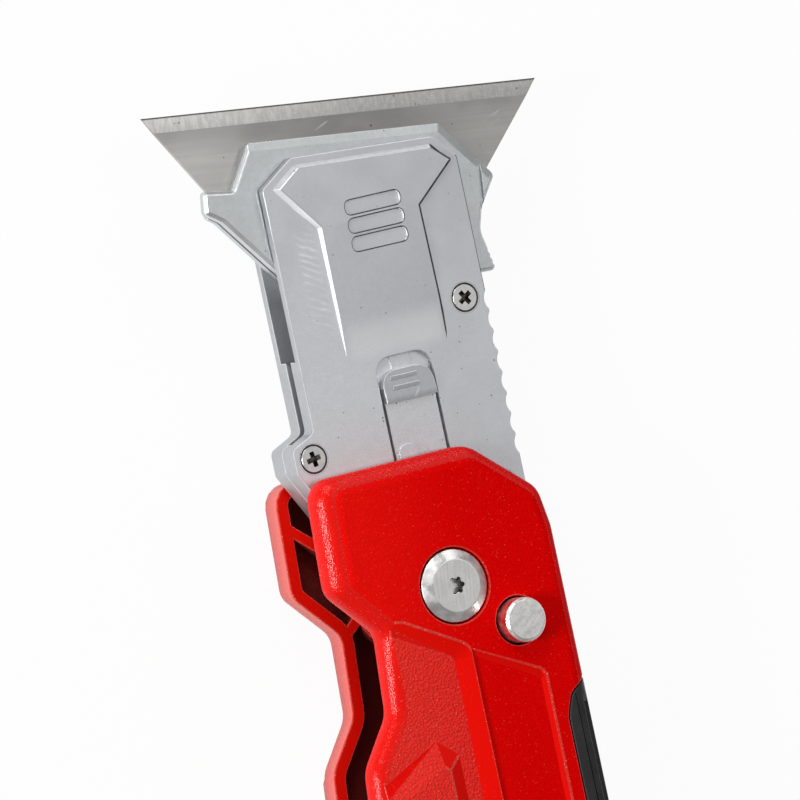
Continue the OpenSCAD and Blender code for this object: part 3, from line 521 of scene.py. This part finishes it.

# Lock parts inside the head: the steel plate with the two notches that the button locks into, and the coil
# spring that pushes the slider up. They sit between the shells.


def cloudy(finish, scale, dark, pale, least, most, stretch=(1, 1, 1)):
    """Feeds a colour and a roughness that follow one pattern of clouds, and gives the pattern."""
    cloud = finish.effect(clouds, finish.place(stretch=stretch), Scale=scale)
    finish.feed("Base Color", finish.mix(cloud, dark, pale))
    finish.polish(cloud, least, most)
    return cloud


def dress(node, finish):
    """Gives a solid that stays as it is its own finish."""
    for slot in frame["nodes"][node].material_slots:
        slot.material = finish.material


stamped = Finish("stamped steel", colour(150, 149, 147), 1.0, 0.4)
brush = cloudy(stamped, 1800, colour(138, 137, 135), colour(170, 169, 167), 0.34, 0.46, (0.06, 1, 1))
stamped.bump(brush, 0.15, 0.02 * mm)
dress("lock_plate", stamped)

drawn = Finish("drawn spring wire", colour(176, 176, 176), 1.0, 0.3)
cloudy(drawn, 1600, colour(150, 150, 151), colour(192, 192, 192), 0.24, 0.36)


def coil(node):
    """A coil spring in the place of its solid, with the finish of drawn wire."""
    spring = solid_copy(node, drawn)
    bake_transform(spring)
    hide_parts(node)


coil("slider_spring")

# Lock slider: a die-cast strip that runs in a slot of the front shell, with a raised thumb pad and two bars
# on it. Pushed up, its tongue holds the carrier.
strip_top = 14.0 * mm
pad_start = 22 * mm
strip_body, strip_edge, strip_pad = range(3)
strip_cast = casting("slider casting", colour(218, 220, 223), colour(230, 232, 235), 0.42)
pad_cast = casting("slider's thumb pad", colour(172, 174, 177), colour(186, 188, 191), 0.44)
slider = solid_copy("lock_slider", strip_cast, worn_and_lit_edge, pad_cast)
for face in slider.data.polygons:
    on_pad = face.center.z > strip_top + 0.05 * mm and face.center.y > pad_start
    face.material_index = strip_pad if on_pad else strip_body
round_edges(slider, 0.1 * mm, finish=strip_edge)
settle(slider, "lock_slider")

# Head shells: two die castings screwed together round the carrier, each with a raised panel and a scalloped
# edge on the right. The front one also has the slider's slot and three sunk bars for the thumb, and the marks
# of a tool on its left flat.
hair = 0.02 * mm
flat_facing = 0.97
right_facing = 0.2
face_height = 14.1 * mm
chatter_low = Vector((-10.2, 36, 0)) * mm
chatter_high = Vector((-6.2, 54, 0)) * mm
lit_panel_end_low = Vector((-5.6, 32.5, 0)) * mm
lit_panel_end_high = Vector((10.6, 39.5, 0)) * mm
bars_low = Vector((-1.7, 47.8, 0)) * mm
bars_high = Vector((7.6, 55.6, 0)) * mm
screw_places = centres("head_screws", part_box("head_screws")[1][2])
screw_reach = 2.4 * mm
jaw_start = max(screw_places)[1] + 3 * mm
shell_body, shell_worn_lit_edge, shell_painted_shade, shell_shaded_side, shell_lit_slope = range(5)
painted_shade_grey = colour(196, 198, 201)
rubbed_and_lit = colour(240, 242, 244)


def field(finish, where, low, high, side_fades, end_fades):
    """1 on a rectangle between two corners, with a fade inside each edge."""
    def band(value, start, end, fades):
        return finish.maths("MULTIPLY", finish.ramp(value, start, start + fades[0]),
                            finish.ramp(value, end - fades[1], end, 1.0, 0.0))

    return finish.maths("MULTIPLY", band(finish.along(where, "X"), low.x, high.x, side_fades),
                        band(finish.along(where, "Y"), low.y, high.y, end_fades))


head_cast = casting("head casting", colour(207, 209, 212), colour(215, 217, 220), 0.42)
marked_cast = casting("head casting with tool marks", colour(223, 225, 228), colour(233, 235, 238), 0.42)
where = marked_cast.place()
metal = marked_cast.shader.inputs["Base Color"].links[0].from_socket
# Painted shade: the front flat turns greyer towards its top and its right side.
shade_upward = marked_cast.ramp(marked_cast.along(where, "Y"), 25 * mm, 62 * mm, 0.0, 0.6)
shade_rightward = marked_cast.ramp(marked_cast.along(where, "X"), -12 * mm, 14 * mm, 0.0, 0.35)
metal = marked_cast.mix(shade_rightward, marked_cast.mix(shade_upward, metal, painted_shade_grey), painted_shade_grey)
across_strokes = marked_cast.place(turn=(0, 0, math.radians(-28)))
strokes = marked_cast.node(
    "ShaderNodeTexWave", {"Vector": across_strokes, "Scale": 330, "Distortion": 3.5, "Detail Scale": 1.5},
    wave_type="BANDS", bands_direction="Y")
lines = marked_cast.ramp(strokes.outputs["Fac"], 0.45, 0.9)
lines = marked_cast.maths("MULTIPLY", lines, marked_cast.effect(clouds, where, Scale=420))
chatter = field(marked_cast, where, chatter_low, chatter_high, (1.2 * mm, 1.2 * mm), (4 * mm, 4 * mm))
metal = marked_cast.lay(metal, marked_cast.maths("MULTIPLY", chatter, lines), 0.75, rubbed_and_lit)
# Painted light: a paler band where the lower end of the panel slopes down into the flat. The tool marks above
# use the same pale colour.
lit_panel_end = field(marked_cast, where, lit_panel_end_low, lit_panel_end_high, (1.5 * mm, 1.5 * mm), (2.2 * mm, 3 * mm))
marked_cast.feed("Base Color", marked_cast.lay(metal, lit_panel_end, 0.5, rubbed_and_lit))

# Painted shade: a darker copy of the casting for the upright sides of the shells and for the narrow strips
# below the panel's top facet.
shaded_side_cast = casting("side of the head", colour(186, 188, 191), colour(198, 200, 203), 0.46)
# Painted highlight: a very pale, half-metallic casting for the panel's left-facing slopes.
highlighted_slope = casting("bare slope of the panel", colour(244, 246, 248), colour(253, 254, 255), 0.5)
highlighted_slope.feed("Metallic", 0.4)
# Painted shade: a dark grey finish for the panel's right-facing steps, the walls of the sunk bars, the walls
# round the screws and the edge beside the jaw.
painted_step_shade = Finish("grime in the steps", colour(66, 66, 67), 0.4, 0.65)
cloudy(painted_step_shade, 900, colour(54, 54, 55), colour(84, 84, 85), 0.55, 0.75)


def in_bars(at):
    return bars_low.x < at.x < bars_high.x and bars_low.y < at.y < bars_high.y


def right_step(edge):
    """Whether an edge is the panel's upper edge on its right side."""
    middle = (edge.verts[0].co + edge.verts[1].co) / 2
    over = any(f.normal.z > flat_facing for f in edge.link_faces)
    beside = any(f.normal.x > right_facing and f.normal.z < flat_facing for f in edge.link_faces)
    return over and beside and middle.z > face_height + 0.05 * mm and not in_bars(middle)


def shell_zone(face):
    """The slot of a face on the panel's slopes, round a screw or beside the jaw, where light and shade are
    painted. Other faces keep theirs.
    """
    at = face.center
    facing = face.normal
    on_slope = facing.z < flat_facing and at.z > face_height + hair
    in_shaded_step = facing.x > right_facing or in_bars(at) and facing.x > -0.5
    by_screw = any(math.hypot(at.x - x, at.y - y) < screw_reach for x, y, _ in screw_places)
    by_jaw = at.y > jaw_start and at.z < face_height and facing.x > 0.3 and facing.z > 0.3
    # Painted shade on the right-facing steps, round the screws and beside the jaw.
    if on_slope and in_shaded_step or by_screw and abs(facing.z) < flat_facing or by_jaw:
        return shell_painted_shade
    if not on_slope:
        return face.material_index
    # Painted highlight on the left-facing slopes. Of the slopes that face up, the top facet gets painted
    # light, and the narrow strips below it get a painted shade line.
    if facing.y < 0.25:
        return shell_lit_slope if facing.x < -0.4 else shell_body
    return shell_worn_lit_edge if facing.z < 0.9 else shell_shaded_side


for node, main_cast in (("front_head_shell", marked_cast), ("rear_head_shell", head_cast)):
    shell = solid_copy(node, main_cast, worn_and_lit_edge, painted_step_shade, shaded_side_cast, highlighted_slope)
    for face in shell.data.polygons:
        upright = abs(face.normal.z) < 0.3 and face.center.z < face_height
        face.material_index = shell_shaded_side if upright else shell_body
    round_edges(shell, 0.16 * mm, finish=shell_worn_lit_edge, worn=right_step)
    for face in shell.data.polygons:
        face.material_index = shell_zone(face)
    settle(shell, node)

# Head screws: three countersunk cross-head screws from the front, with flat plated heads, that clamp the
# shells. One node tree makes them and the two longer screws of the butt.
overlap = 0.02 * mm
sunk = 0.1 * mm
drive_share = 0.7
arm_foot_share = 0.6
hub_share = 1.5
hub_foot_share = 0.35
screw_sizes = dict.fromkeys(
    ("Head Radius", "Head Depth", "Rim", "Shank Radius", "Length", "Arm", "Arm Width", "Turn Over"), "Float")
screw_finishes = dict.fromkeys(("Finish", "Recess Finish"), "Material")
wires, given, result = node_group(
    "countersunk screw", "Geometry", {"Geometry": "Geometry", **screw_sizes, **screw_finishes}, "Geometry")
below = wires.maths("MULTIPLY", given["Head Depth"], -1.0)
taper = wires.maths("SUBTRACT", given["Head Depth"], given["Rim"])
crown = wires.maths("SUBTRACT", given["Head Radius"], given["Rim"])
head = frustum(wires, given["Shank Radius"], given["Head Radius"], taper, below)
rim = frustum(wires, given["Head Radius"], crown, given["Rim"], wires.maths("MULTIPLY", given["Rim"], -1.0))
foot = wires.maths("MULTIPLY", given["Length"], -1.0)
shank_length = wires.maths("ADD", wires.maths("SUBTRACT", given["Length"], given["Head Depth"]), sunk)
shank = frustum(wires, given["Shank Radius"], given["Shank Radius"], shank_length, foot)

drive_depth = wires.maths("MULTIPLY", given["Head Depth"], drive_share)
drive_foot = wires.maths("MULTIPLY", drive_depth, -1.0)
drive_length = wires.maths("ADD", drive_depth, overlap)
wide = wires.maths("MULTIPLY", given["Arm"], math.sqrt(2))
narrow = wires.maths("MULTIPLY", wide, arm_foot_share)
bar = frustum(wires, narrow, wide, drive_length, drive_foot, 4)
square = moved(wires, bar, Rotation=(0, 0, math.radians(45)))
slimness = wires.maths("DIVIDE", given["Arm Width"], given["Arm"])
slim = wires.node("ShaderNodeCombineXYZ", {"X": 1, "Y": slimness, "Z": 1}).outputs["Vector"]
arms = [moved(wires, square, Rotation=(0, 0, math.radians(turn)), Scale=slim) for turn in (0, 90)]
hub_radius = wires.maths("MULTIPLY", given["Arm Width"], hub_share)
hub_foot = wires.maths("MULTIPLY", hub_radius, hub_foot_share)
hub = frustum(wires, hub_foot, hub_radius, drive_length, drive_foot, 24)
drive = painted(wires, joined(wires, *arms, hub), given["Recess Finish"])
cut = wires.node("GeometryNodeMeshBoolean", {"Mesh 1": joined(wires, head, rim, shank), "Mesh 2": drive},
                 operation="DIFFERENCE", solver="EXACT")
real = on_points(wires, given["Geometry"], cut.outputs["Mesh"], given["Turn Over"])
recess = wires.node("GeometryNodeMaterialSelection", {"Material": given["Recess Finish"]})
outside = wires.node("FunctionNodeBooleanMath", {0: recess.outputs["Selection"]}, operation="NOT")
wires.plug(result, painted(wires, real, given["Finish"], outside.outputs[0]))
screw_tree = wires.tree

worn_head = Finish("worn screw head", colour(190, 189, 186), 1.0, 0.36)
cloudy(worn_head, 900, colour(198, 197, 194), colour(230, 229, 227), 0.3, 0.44)
worn_head.bump(worn_head.noise(worn_head.place(), 2600, 2), 0.1, 0.02 * mm)
# Painted shade: the drive recesses of the screws and the bolt are dark where shade falls in them.
shade_in_recess = Finish("oiled recess", colour(92, 88, 83), 1.0, 0.45)
cloudy(shade_in_recess, 1500, colour(58, 55, 52), colour(118, 113, 107), 0.38, 0.55)

low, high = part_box("head_screws")
fasteners("head_screws", screw_tree, screw_places, [math.radians(turn) for turn in (10, 52, 34)],
          {"Head Radius": 1.86 * mm, "Head Depth": 1.1 * mm, "Rim": 0.06 * mm, "Shank Radius": 1.0 * mm,
           "Length": high[2] - low[2], "Arm": 1.1 * mm, "Arm Width": 0.36 * mm, "Turn Over": 0.0,
           "Finish": worn_head.material, "Recess Finish": shade_in_recess.material})

# Fold pivot: a steel barrel that the head turns on, with a bronze thrust washer on each side of the head.
# The bolt screws into the barrel from the front and has a turned, bevelled head with a six-lobe recess.
drive_reach = 1.5 * mm
bolt_face, bolt_drive = 1, 2
bronze = Finish("plain bronze", colour(176, 140, 86), 1.0, 0.36)
cloudy(bronze, 320, colour(150, 112, 62), colour(190, 154, 98), 0.3, 0.44)
bronze.bump(bronze.noise(bronze.place(), 2400, 2), 0.1, 0.02 * mm)
for node in ("front_washer", "rear_washer"):
    dress(node, bronze)

barrel = solid_copy("pivot_barrel", plated)
round_edges(barrel, 0.15 * mm)
settle(barrel, "pivot_barrel")

turned = Finish("turned bolt face", colour(206, 205, 202), 1.0, 0.32)
lines = turned.effect(clouds, turned.place(turn=(0, 0, math.radians(-8)), stretch=(1, 0.05, 1)), Scale=3200)
smear = turned.effect(clouds, turned.place(), Scale=380)
metal = turned.mix(turned.both(lines, smear, 0.55), colour(208, 207, 205), colour(244, 243, 242))
nicks = turned.effect(flecks, turned.place(turn=(0, 0, 0.5), stretch=(0.12, 1, 1)), Scale=900, Share=0.12)
turned.feed("Base Color", turned.lay(metal, nicks, 0.6, colour(118, 116, 112)))
turned.polish(smear, 0.26, 0.4)
turned.bump(lines, 0.12, 0.02 * mm)

bolt = solid_copy("pivot_bolt", plated, turned, shade_in_recess)
bolt_top = max(v.co.z for v in bolt.data.vertices)
for face in bolt.data.polygons:
    from_axis = math.hypot(face.center.x, face.center.y)
    level = face.normal.z > 0.99
    on_top = level and face.center.z > bolt_top - 0.01 * mm
    in_drive = from_axis < drive_reach and face.center.z > bolt_top - drive_reach
    if on_top or in_drive:
        face.material_index = bolt_face if level else bolt_drive
round_edges(bolt, 0.08 * mm)
settle(bolt, "pivot_bolt")

# Handle halves: two coated castings, hollow inside with cross ribs. The coat is a red powder with a fine
# sparkle on the flats, painted as glints, and a close leather grain on the sunk floor and its pad; slopes and
# lips are smooth.
# Levels are heights above the plane between the halves, which lies at the middle height.
mid_height = 10.5 * mm
lip_level = 4.75 * mm
side_top = 7.7 * mm
pocket_level = 8.0 * mm
floor_level = 9.3 * mm
pad_level = 10.0 * mm
face_level = 10.5 * mm
pad_right = -2 * mm
upright_facing = 0.05
half_flat, half_floor, half_slope, half_curve, half_pocket, half_edge, half_wall = range(7)

wires, given, result = node_group("coat grain", "Shader", {"Vector": "Vector", "Scale": "Float"}, "Float")
beads = wires.cells(given["Vector"], given["Scale"], "SMOOTH_F1")
beads.inputs["Smoothness"].default_value = 0.2
domes = wires.maths("SUBTRACT", 1.0, beads.outputs["Distance"])
creases = wires.noise(given["Vector"], wires.maths("MULTIPLY", given["Scale"], 0.9), 2)
wires.plug(result, wires.maths("ADD", wires.maths("MULTIPLY", domes, 0.9),
                               wires.maths("MULTIPLY", creases, 0.35)))
coat_grain = wires.tree


def red_coat(name, left, right, glint, sparks, grain, height, roughness, specular, relief):
    """Red powder coat, paler on the left as painted light, with painted shade in the creases of its grain and
    painted glints on its beads.
    sparks is the share of beads that glint, height that of the grain, and relief how strong its tones are."""
    made = Finish(name, left, 0.0, roughness, specular)
    where = made.place()
    # Painted light: paler towards the left, where the key lamp falls.
    red = made.mix(made.ramp(made.along(where, "X"), -14 * mm, 6 * mm), left, right)
    beads = made.effect(coat_grain, where, Scale=grain)
    # Painted shade in the grain's creases, and painted glints on its beads and on single sparks.
    red = made.mix(made.ramp(beads, 0.6, 0.88, relief, 0.0), red, colour(120, 0, 0))
    red = made.mix(made.ramp(beads, 0.94, 1.1, 0.0, relief), red, glint)
    single = made.effect(flecks, where, Scale=3600, Share=sparks)
    made.feed("Base Color", made.lay(red, single, 0.5, glint))
    made.feed("Roughness", made.ramp(beads, 0.4, 1.0, roughness + 0.08, roughness - 0.05))
    made.bump(beads, 0.8, height)
    return made


red_face = red_coat(
    "red coat on the flats", colour(242, 15, 9), colour(225, 0, 0), colour(247, 88, 68),
    sparks=0.2, grain=2900, height=0.05 * mm, roughness=0.38, specular=0.02, relief=0.15)
red_leather = red_coat(
    "red coat with leather grain", colour(252, 40, 26), colour(243, 22, 14), colour(255, 150, 130),
    sparks=0.22, grain=2700, height=0.19 * mm, roughness=0.32, specular=0.28, relief=0.26)
red_smooth = red_coat(
    "smooth red coat", colour(234, 18, 5), colour(224, 8, 2), colour(246, 84, 64),
    sparks=0.05, grain=2900, height=0.02 * mm, roughness=0.34, specular=0.05, relief=0.05)
red_round = red_coat(
    "red coat on the roundings", colour(234, 15, 4), colour(222, 3, 1), colour(255, 140, 120),
    sparks=0.2, grain=3000, height=0.055 * mm, roughness=0.19, specular=0.22, relief=0.12)
# The pocket inside each half is a dark red-brown.
red_pocket = red_coat(
    "thin coat in the pocket", colour(124, 34, 30), colour(80, 20, 17), colour(140, 66, 58),
    sparks=0.05, grain=2000, height=0.05 * mm, roughness=0.5, specular=0.3, relief=0.1)
# Painted highlight: the broken edges get a pale, sparkling coat for the bright lines along them.
red_edge_glint = red_coat(
    "thin red coat on the edges", colour(240, 70, 56), colour(232, 48, 36), colour(255, 196, 184),
    sparks=0.6, grain=3200, height=0.08 * mm, roughness=0.3, specular=0.4, relief=0.3)
# Painted light: the rear half's side wall is pale pink where the key lamp falls on it.
lit_rear_wall = red_coat(
    "red coat on the rear side wall", colour(234, 104, 96), colour(226, 64, 56), colour(250, 150, 140),
    sparks=0.05, grain=3000, height=0.03 * mm, roughness=0.4, specular=0.5, relief=0.05)


def near(value, *marks):
    return any(abs(value - mark) < hair for mark in marks)


def red_zone(levels, facing, middle):
    """The slot of a face, from its levels and the way it faces."""
    low, high = min(levels), max(levels)
    if facing > flat_facing:
        on_pad = near(high, pad_level) and middle.x < pad_right
        return half_floor if on_pad or near(high, floor_level) else half_flat
    if near(high, pocket_level) and facing < upright_facing:
        return half_pocket
    if facing < -upright_facing:
        return half_slope
    if facing < upright_facing:
        return half_wall
    if near(low, floor_level, pad_level) and near(high, pad_level, face_level):
        return half_slope
    return half_curve


def soften_belly(bm, outward, width, steps):
    """Rounds the belly's edge beside the sunk floor, where the floor cuts through the rounding of the body.
    The narrow strips of that rounding below the edge are merged first, to make room for the new one."""
    def level(vert):
        return outward * (vert.co.z - mid_height)

    def is_floor(face):
        return outward * face.normal.z > flat_facing and all(near(level(v), floor_level) for v in face.verts)

    def edges_below(strip, top):
        """The level edges of a strip that lie below its top edge and above the side wall."""
        return [e for e in strip.edges if e != top and abs(level(e.verts[0]) - level(e.verts[1])) < 0.005 * mm
                and side_top + hair < level(e.verts[0]) < level(top.verts[0]) - hair]

    def lies_on(edge, ends):
        first, last = (v.co for v in edge.verts)
        return any((first - a).length + (last - b).length < 2 * weld for a, b in (ends, ends[::-1]))

    rim_ends = []
    between_strips = []
    for edge in bm.edges:
        faces = edge.link_faces
        if len(faces) != 2 or sum(is_floor(f) for f in faces) != 1:
            continue
        strip = faces[1] if is_floor(faces[0]) else faces[0]
        if max(level(v) for v in strip.verts) > floor_level + hair or strip.normal.x > 0:
            continue
        rim_ends.append([v.co.copy() for v in edge.verts])
        top = edge
        while strip is not None:
            next_strip = None
            for lower in edges_below(strip, top):
                between_strips.append(lower)
                next_strip = next((f for f in lower.link_faces if f != strip), None)
                top = lower
            strip = next_strip
    bmesh.ops.dissolve_edges(bm, edges=list(dict.fromkeys(between_strips)), use_verts=True)
    rim = [e for e in bm.edges if any(lies_on(e, ends) for ends in rim_ends)]
    bmesh.ops.bevel(bm, geom=rim, offset=width, segments=steps, profile=0.5, affect="EDGES",
                    loop_slide=False, material=half_curve)


def full_curve(mesh, outward):
    """Lets the side wall and its rounding shade as one full curve from the lip up to the face."""
    reach = 3.2 * mm

    def level(vertex):
        return outward * (vertex.co.z - mid_height)

    crest = {v for face in mesh.polygons if face.material_index == half_curve for v in face.vertices}
    tops = {}
    for v in crest:
        here = mesh.vertices[v].co.xy
        about = [mesh.vertices[c] for c in crest if (mesh.vertices[c].co.xy - here).length < reach]
        tops[v] = max(level(vertex) for vertex in about)
    normals = [corner.vector.copy() for corner in mesh.corner_normals]
    for face in mesh.polygons:
        shared = [tops[v] for v in face.vertices if v in tops]
        if face.material_index not in (half_curve, half_wall) or not shared:
            continue
        for corner in face.loop_indices:
            vertex = mesh.vertices[mesh.loops[corner].vertex_index]
            top = tops.get(vertex.index, max(shared))
            rise = min(max((level(vertex) - lip_level) / (top - lip_level), 0), 1)
            side = normals[corner].xy if normals[corner].xy.length > 0.2 else face.normal.xy
            side = side.normalized() * math.sqrt(1 - rise * rise)
            normals[corner] = Vector((side.x, side.y, outward * rise))
    mesh.normals_split_custom_set(normals)


for node, outward, red_wall in (("rear_handle", -1, lit_rear_wall), ("front_handle", 1, red_round)):
    half = solid_copy(node, red_face, red_leather, red_smooth, red_round, red_pocket, red_edge_glint, red_wall)
    bm = bmesh.new()
    bm.from_mesh(half.data)
    for face in bm.faces:
        levels = [outward * (v.co.z - mid_height) for v in face.verts]
        face.material_index = red_zone(levels, outward * face.normal.z, face.calc_center_median())
    soften_belly(bm, outward, 1.0 * mm, 5)
    bm.to_mesh(half.data)
    bm.free()
    round_edges(half, 0.2 * mm, sharper_than=14, flat_width=1.7 * mm, finish=half_edge,
                rounded=(half_curve, half_wall))
    full_curve(half.data, outward)
    settle(half, node)

# Grips and spacers: black moulded inserts let into the spine of each half, and the plastic spacers that keep
# the halves apart at the spine and at the butt. The inserts have a close matt grain and a groove.


def black_moulding(name, dark, pale, grain, height, roughness):
    made = Finish(name, pale, 0.0, roughness, 0.35)
    cloudy(made, 240, dark, pale, roughness - 0.05, roughness + 0.07)
    made.bump(made.effect(coat_grain, made.place(), Scale=grain), 0.4, height)
    return made


rubber = black_moulding("matt black grip", colour(32, 31, 32), colour(45, 44, 45), 2600, 0.04 * mm, 0.5)
nylon = black_moulding("black moulded plastic", colour(34, 33, 34), colour(46, 45, 46), 1500, 0.02 * mm, 0.42)
for node, finish, width in (("front_grip", rubber, 0.25 * mm), ("rear_grip", rubber, 0.25 * mm),
                            ("back_spacer", nylon, 0.2 * mm), ("butt_spacer", nylon, 0.3 * mm)):
    insert = solid_copy(node, finish)
    round_edges(insert, width, 3)
    settle(insert, node)

# Butt screws: two longer countersunk screws of the same make as those of the head, driven from the rear
# through the butt spacer into the front half.
low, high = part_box("handle_screws")
butt_places = centres("handle_screws", low[2])
fasteners("handle_screws", screw_tree, butt_places, [math.radians(turn) for turn in (20, 65)],
          {"Head Radius": 2.4 * mm, "Head Depth": 1.5 * mm, "Rim": 0.15 * mm, "Shank Radius": 1.25 * mm,
           "Length": high[2] - low[2], "Arm": 1.35 * mm, "Arm Width": 0.42 * mm, "Turn Over": math.pi,
           "Finish": worn_head.material, "Recess Finish": shade_in_recess.material})

# Fold lock: a round steel button that passes through the front half and locks in the head's plate. Its flange
# and its coil spring sit in a blind pocket of the rear half, which a steel washer closes. The button's end is
# sawn and barrelled, so it looks grainy.
button_side, button_end = range(2)
tumbled = Finish("tumbled button end", colour(202, 200, 197), 1.0, 0.42)
peen = tumbled.effect(clouds, tumbled.place(), Scale=1500)
shine = tumbled.effect(clouds, tumbled.place(turn=(0, 0, 0.7), stretch=(0.2, 1, 1)), Scale=1900)
shade = tumbled.both(peen, shine, 0.4)
tumbled.feed("Base Color", tumbled.mix(shade, colour(216, 214, 211), colour(254, 253, 251)))
tumbled.polish(peen, 0.34, 0.5)
tumbled.bump(shade, 0.25, 0.03 * mm)
button = solid_copy("lock_button", plated, tumbled)
button_top = max(v.co.z for v in button.data.vertices)
for face in button.data.polygons:
    at_end = face.normal.z > 0.2 and face.center.z > button_top - 0.8 * mm
    face.material_index = button_end if at_end else button_side
round_edges(button, 0.08 * mm)
settle(button, "lock_button")
coil("lock_spring")
dress("plunger_retainer", stamped)

# Studio: a sheet of white paper under the knife, soft light from the left and from above, and the camera,
# which looks from 27 degrees to the left and leans so that the blade's edge runs up to the right.
scene.view_settings.view_transform = "Standard"
paper_reach = 3
paper_glow = 0.94
room_light = 0.28
lit_point = Vector((0, 0.02, 0.01))
paper = Finish("white paper", (0.9, 0.9, 0.9, 1), 0.0, 0.9)
sheet = bpy.data.meshes.new("paper")
corners = [(x * paper_reach, y * paper_reach, 0) for x, y in ((-1, -1), (1, -1), (1, 1), (-1, 1))]
sheet.from_pydata(corners, [], [(0, 1, 2, 3)])
sheet.materials.append(paper.material)
stand("floor", sheet)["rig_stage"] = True
glow = paper.node("ShaderNodeEmission").outputs["Emission"]
path = paper.node("ShaderNodeLightPath").outputs
seen = paper.maths("MAXIMUM", path["Is Camera Ray"], path["Is Glossy Ray"])
seen = paper.maths("MAXIMUM", seen, path["Is Transmission Ray"])
share = paper.maths("MULTIPLY", seen, paper_glow)
blend = paper.node("ShaderNodeMixShader", {"Fac": share, 1: paper.shader.outputs["BSDF"], 2: glow})
paper.plug(paper.tree.nodes["Material Output"].inputs["Surface"], blend.outputs["Shader"])

studio = bpy.data.worlds.new("studio")
scene.world = studio
studio.use_nodes = True
room = studio.node_tree.nodes["Background"].inputs
room["Color"].default_value = (1, 1, 1, 1)
room["Strength"].default_value = room_light


def lamp(name, place, size, power):
    """A round soft lamp that faces the knife."""
    data = bpy.data.lights.new(name, "AREA")
    data.shape = "DISK"
    data.size = size
    data.energy = power
    made = stand(name, data)
    made.location = place
    made.rotation_mode = "QUATERNION"
    made.rotation_quaternion = (lit_point - Vector(place)).to_track_quat("-Z", "Y")


lamp("key", (-0.88, 0.06, 0.42), 0.3, 6.5)
lamp("top", (-0.35, 0.85, 0.6), 0.5, 3.2)
lamp("rim", (0.45, 0.75, 0.5), 0.25, 0.6)
lamp("fill", (0.45, 0.35, 0.95), 0.9, 1.8)

sight = Vector((-0.449, 0.05, 0.892)).normalized()
aim = Vector((-0.0022, 0.0269, 0.0207))
distance = 2.0
lean = math.radians(12)
axis_up = (Vector((0, 1, 0)) - sight * sight.y).normalized()
axis_side = axis_up.cross(sight)
right = axis_side * math.cos(lean) - axis_up * math.sin(lean)
up = axis_side * math.sin(lean) + axis_up * math.cos(lean)
facing = Matrix((right, up, sight)).transposed().to_4x4()
camera = stand("camera", bpy.data.cameras.new("camera"))
camera.data.sensor_width = 36
camera.data.lens = 648
camera.data.clip_start = 0.01
camera.data.clip_end = 20
camera.matrix_world = Matrix.Translation(aim + sight * distance) @ facing
scene.camera = camera

low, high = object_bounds()
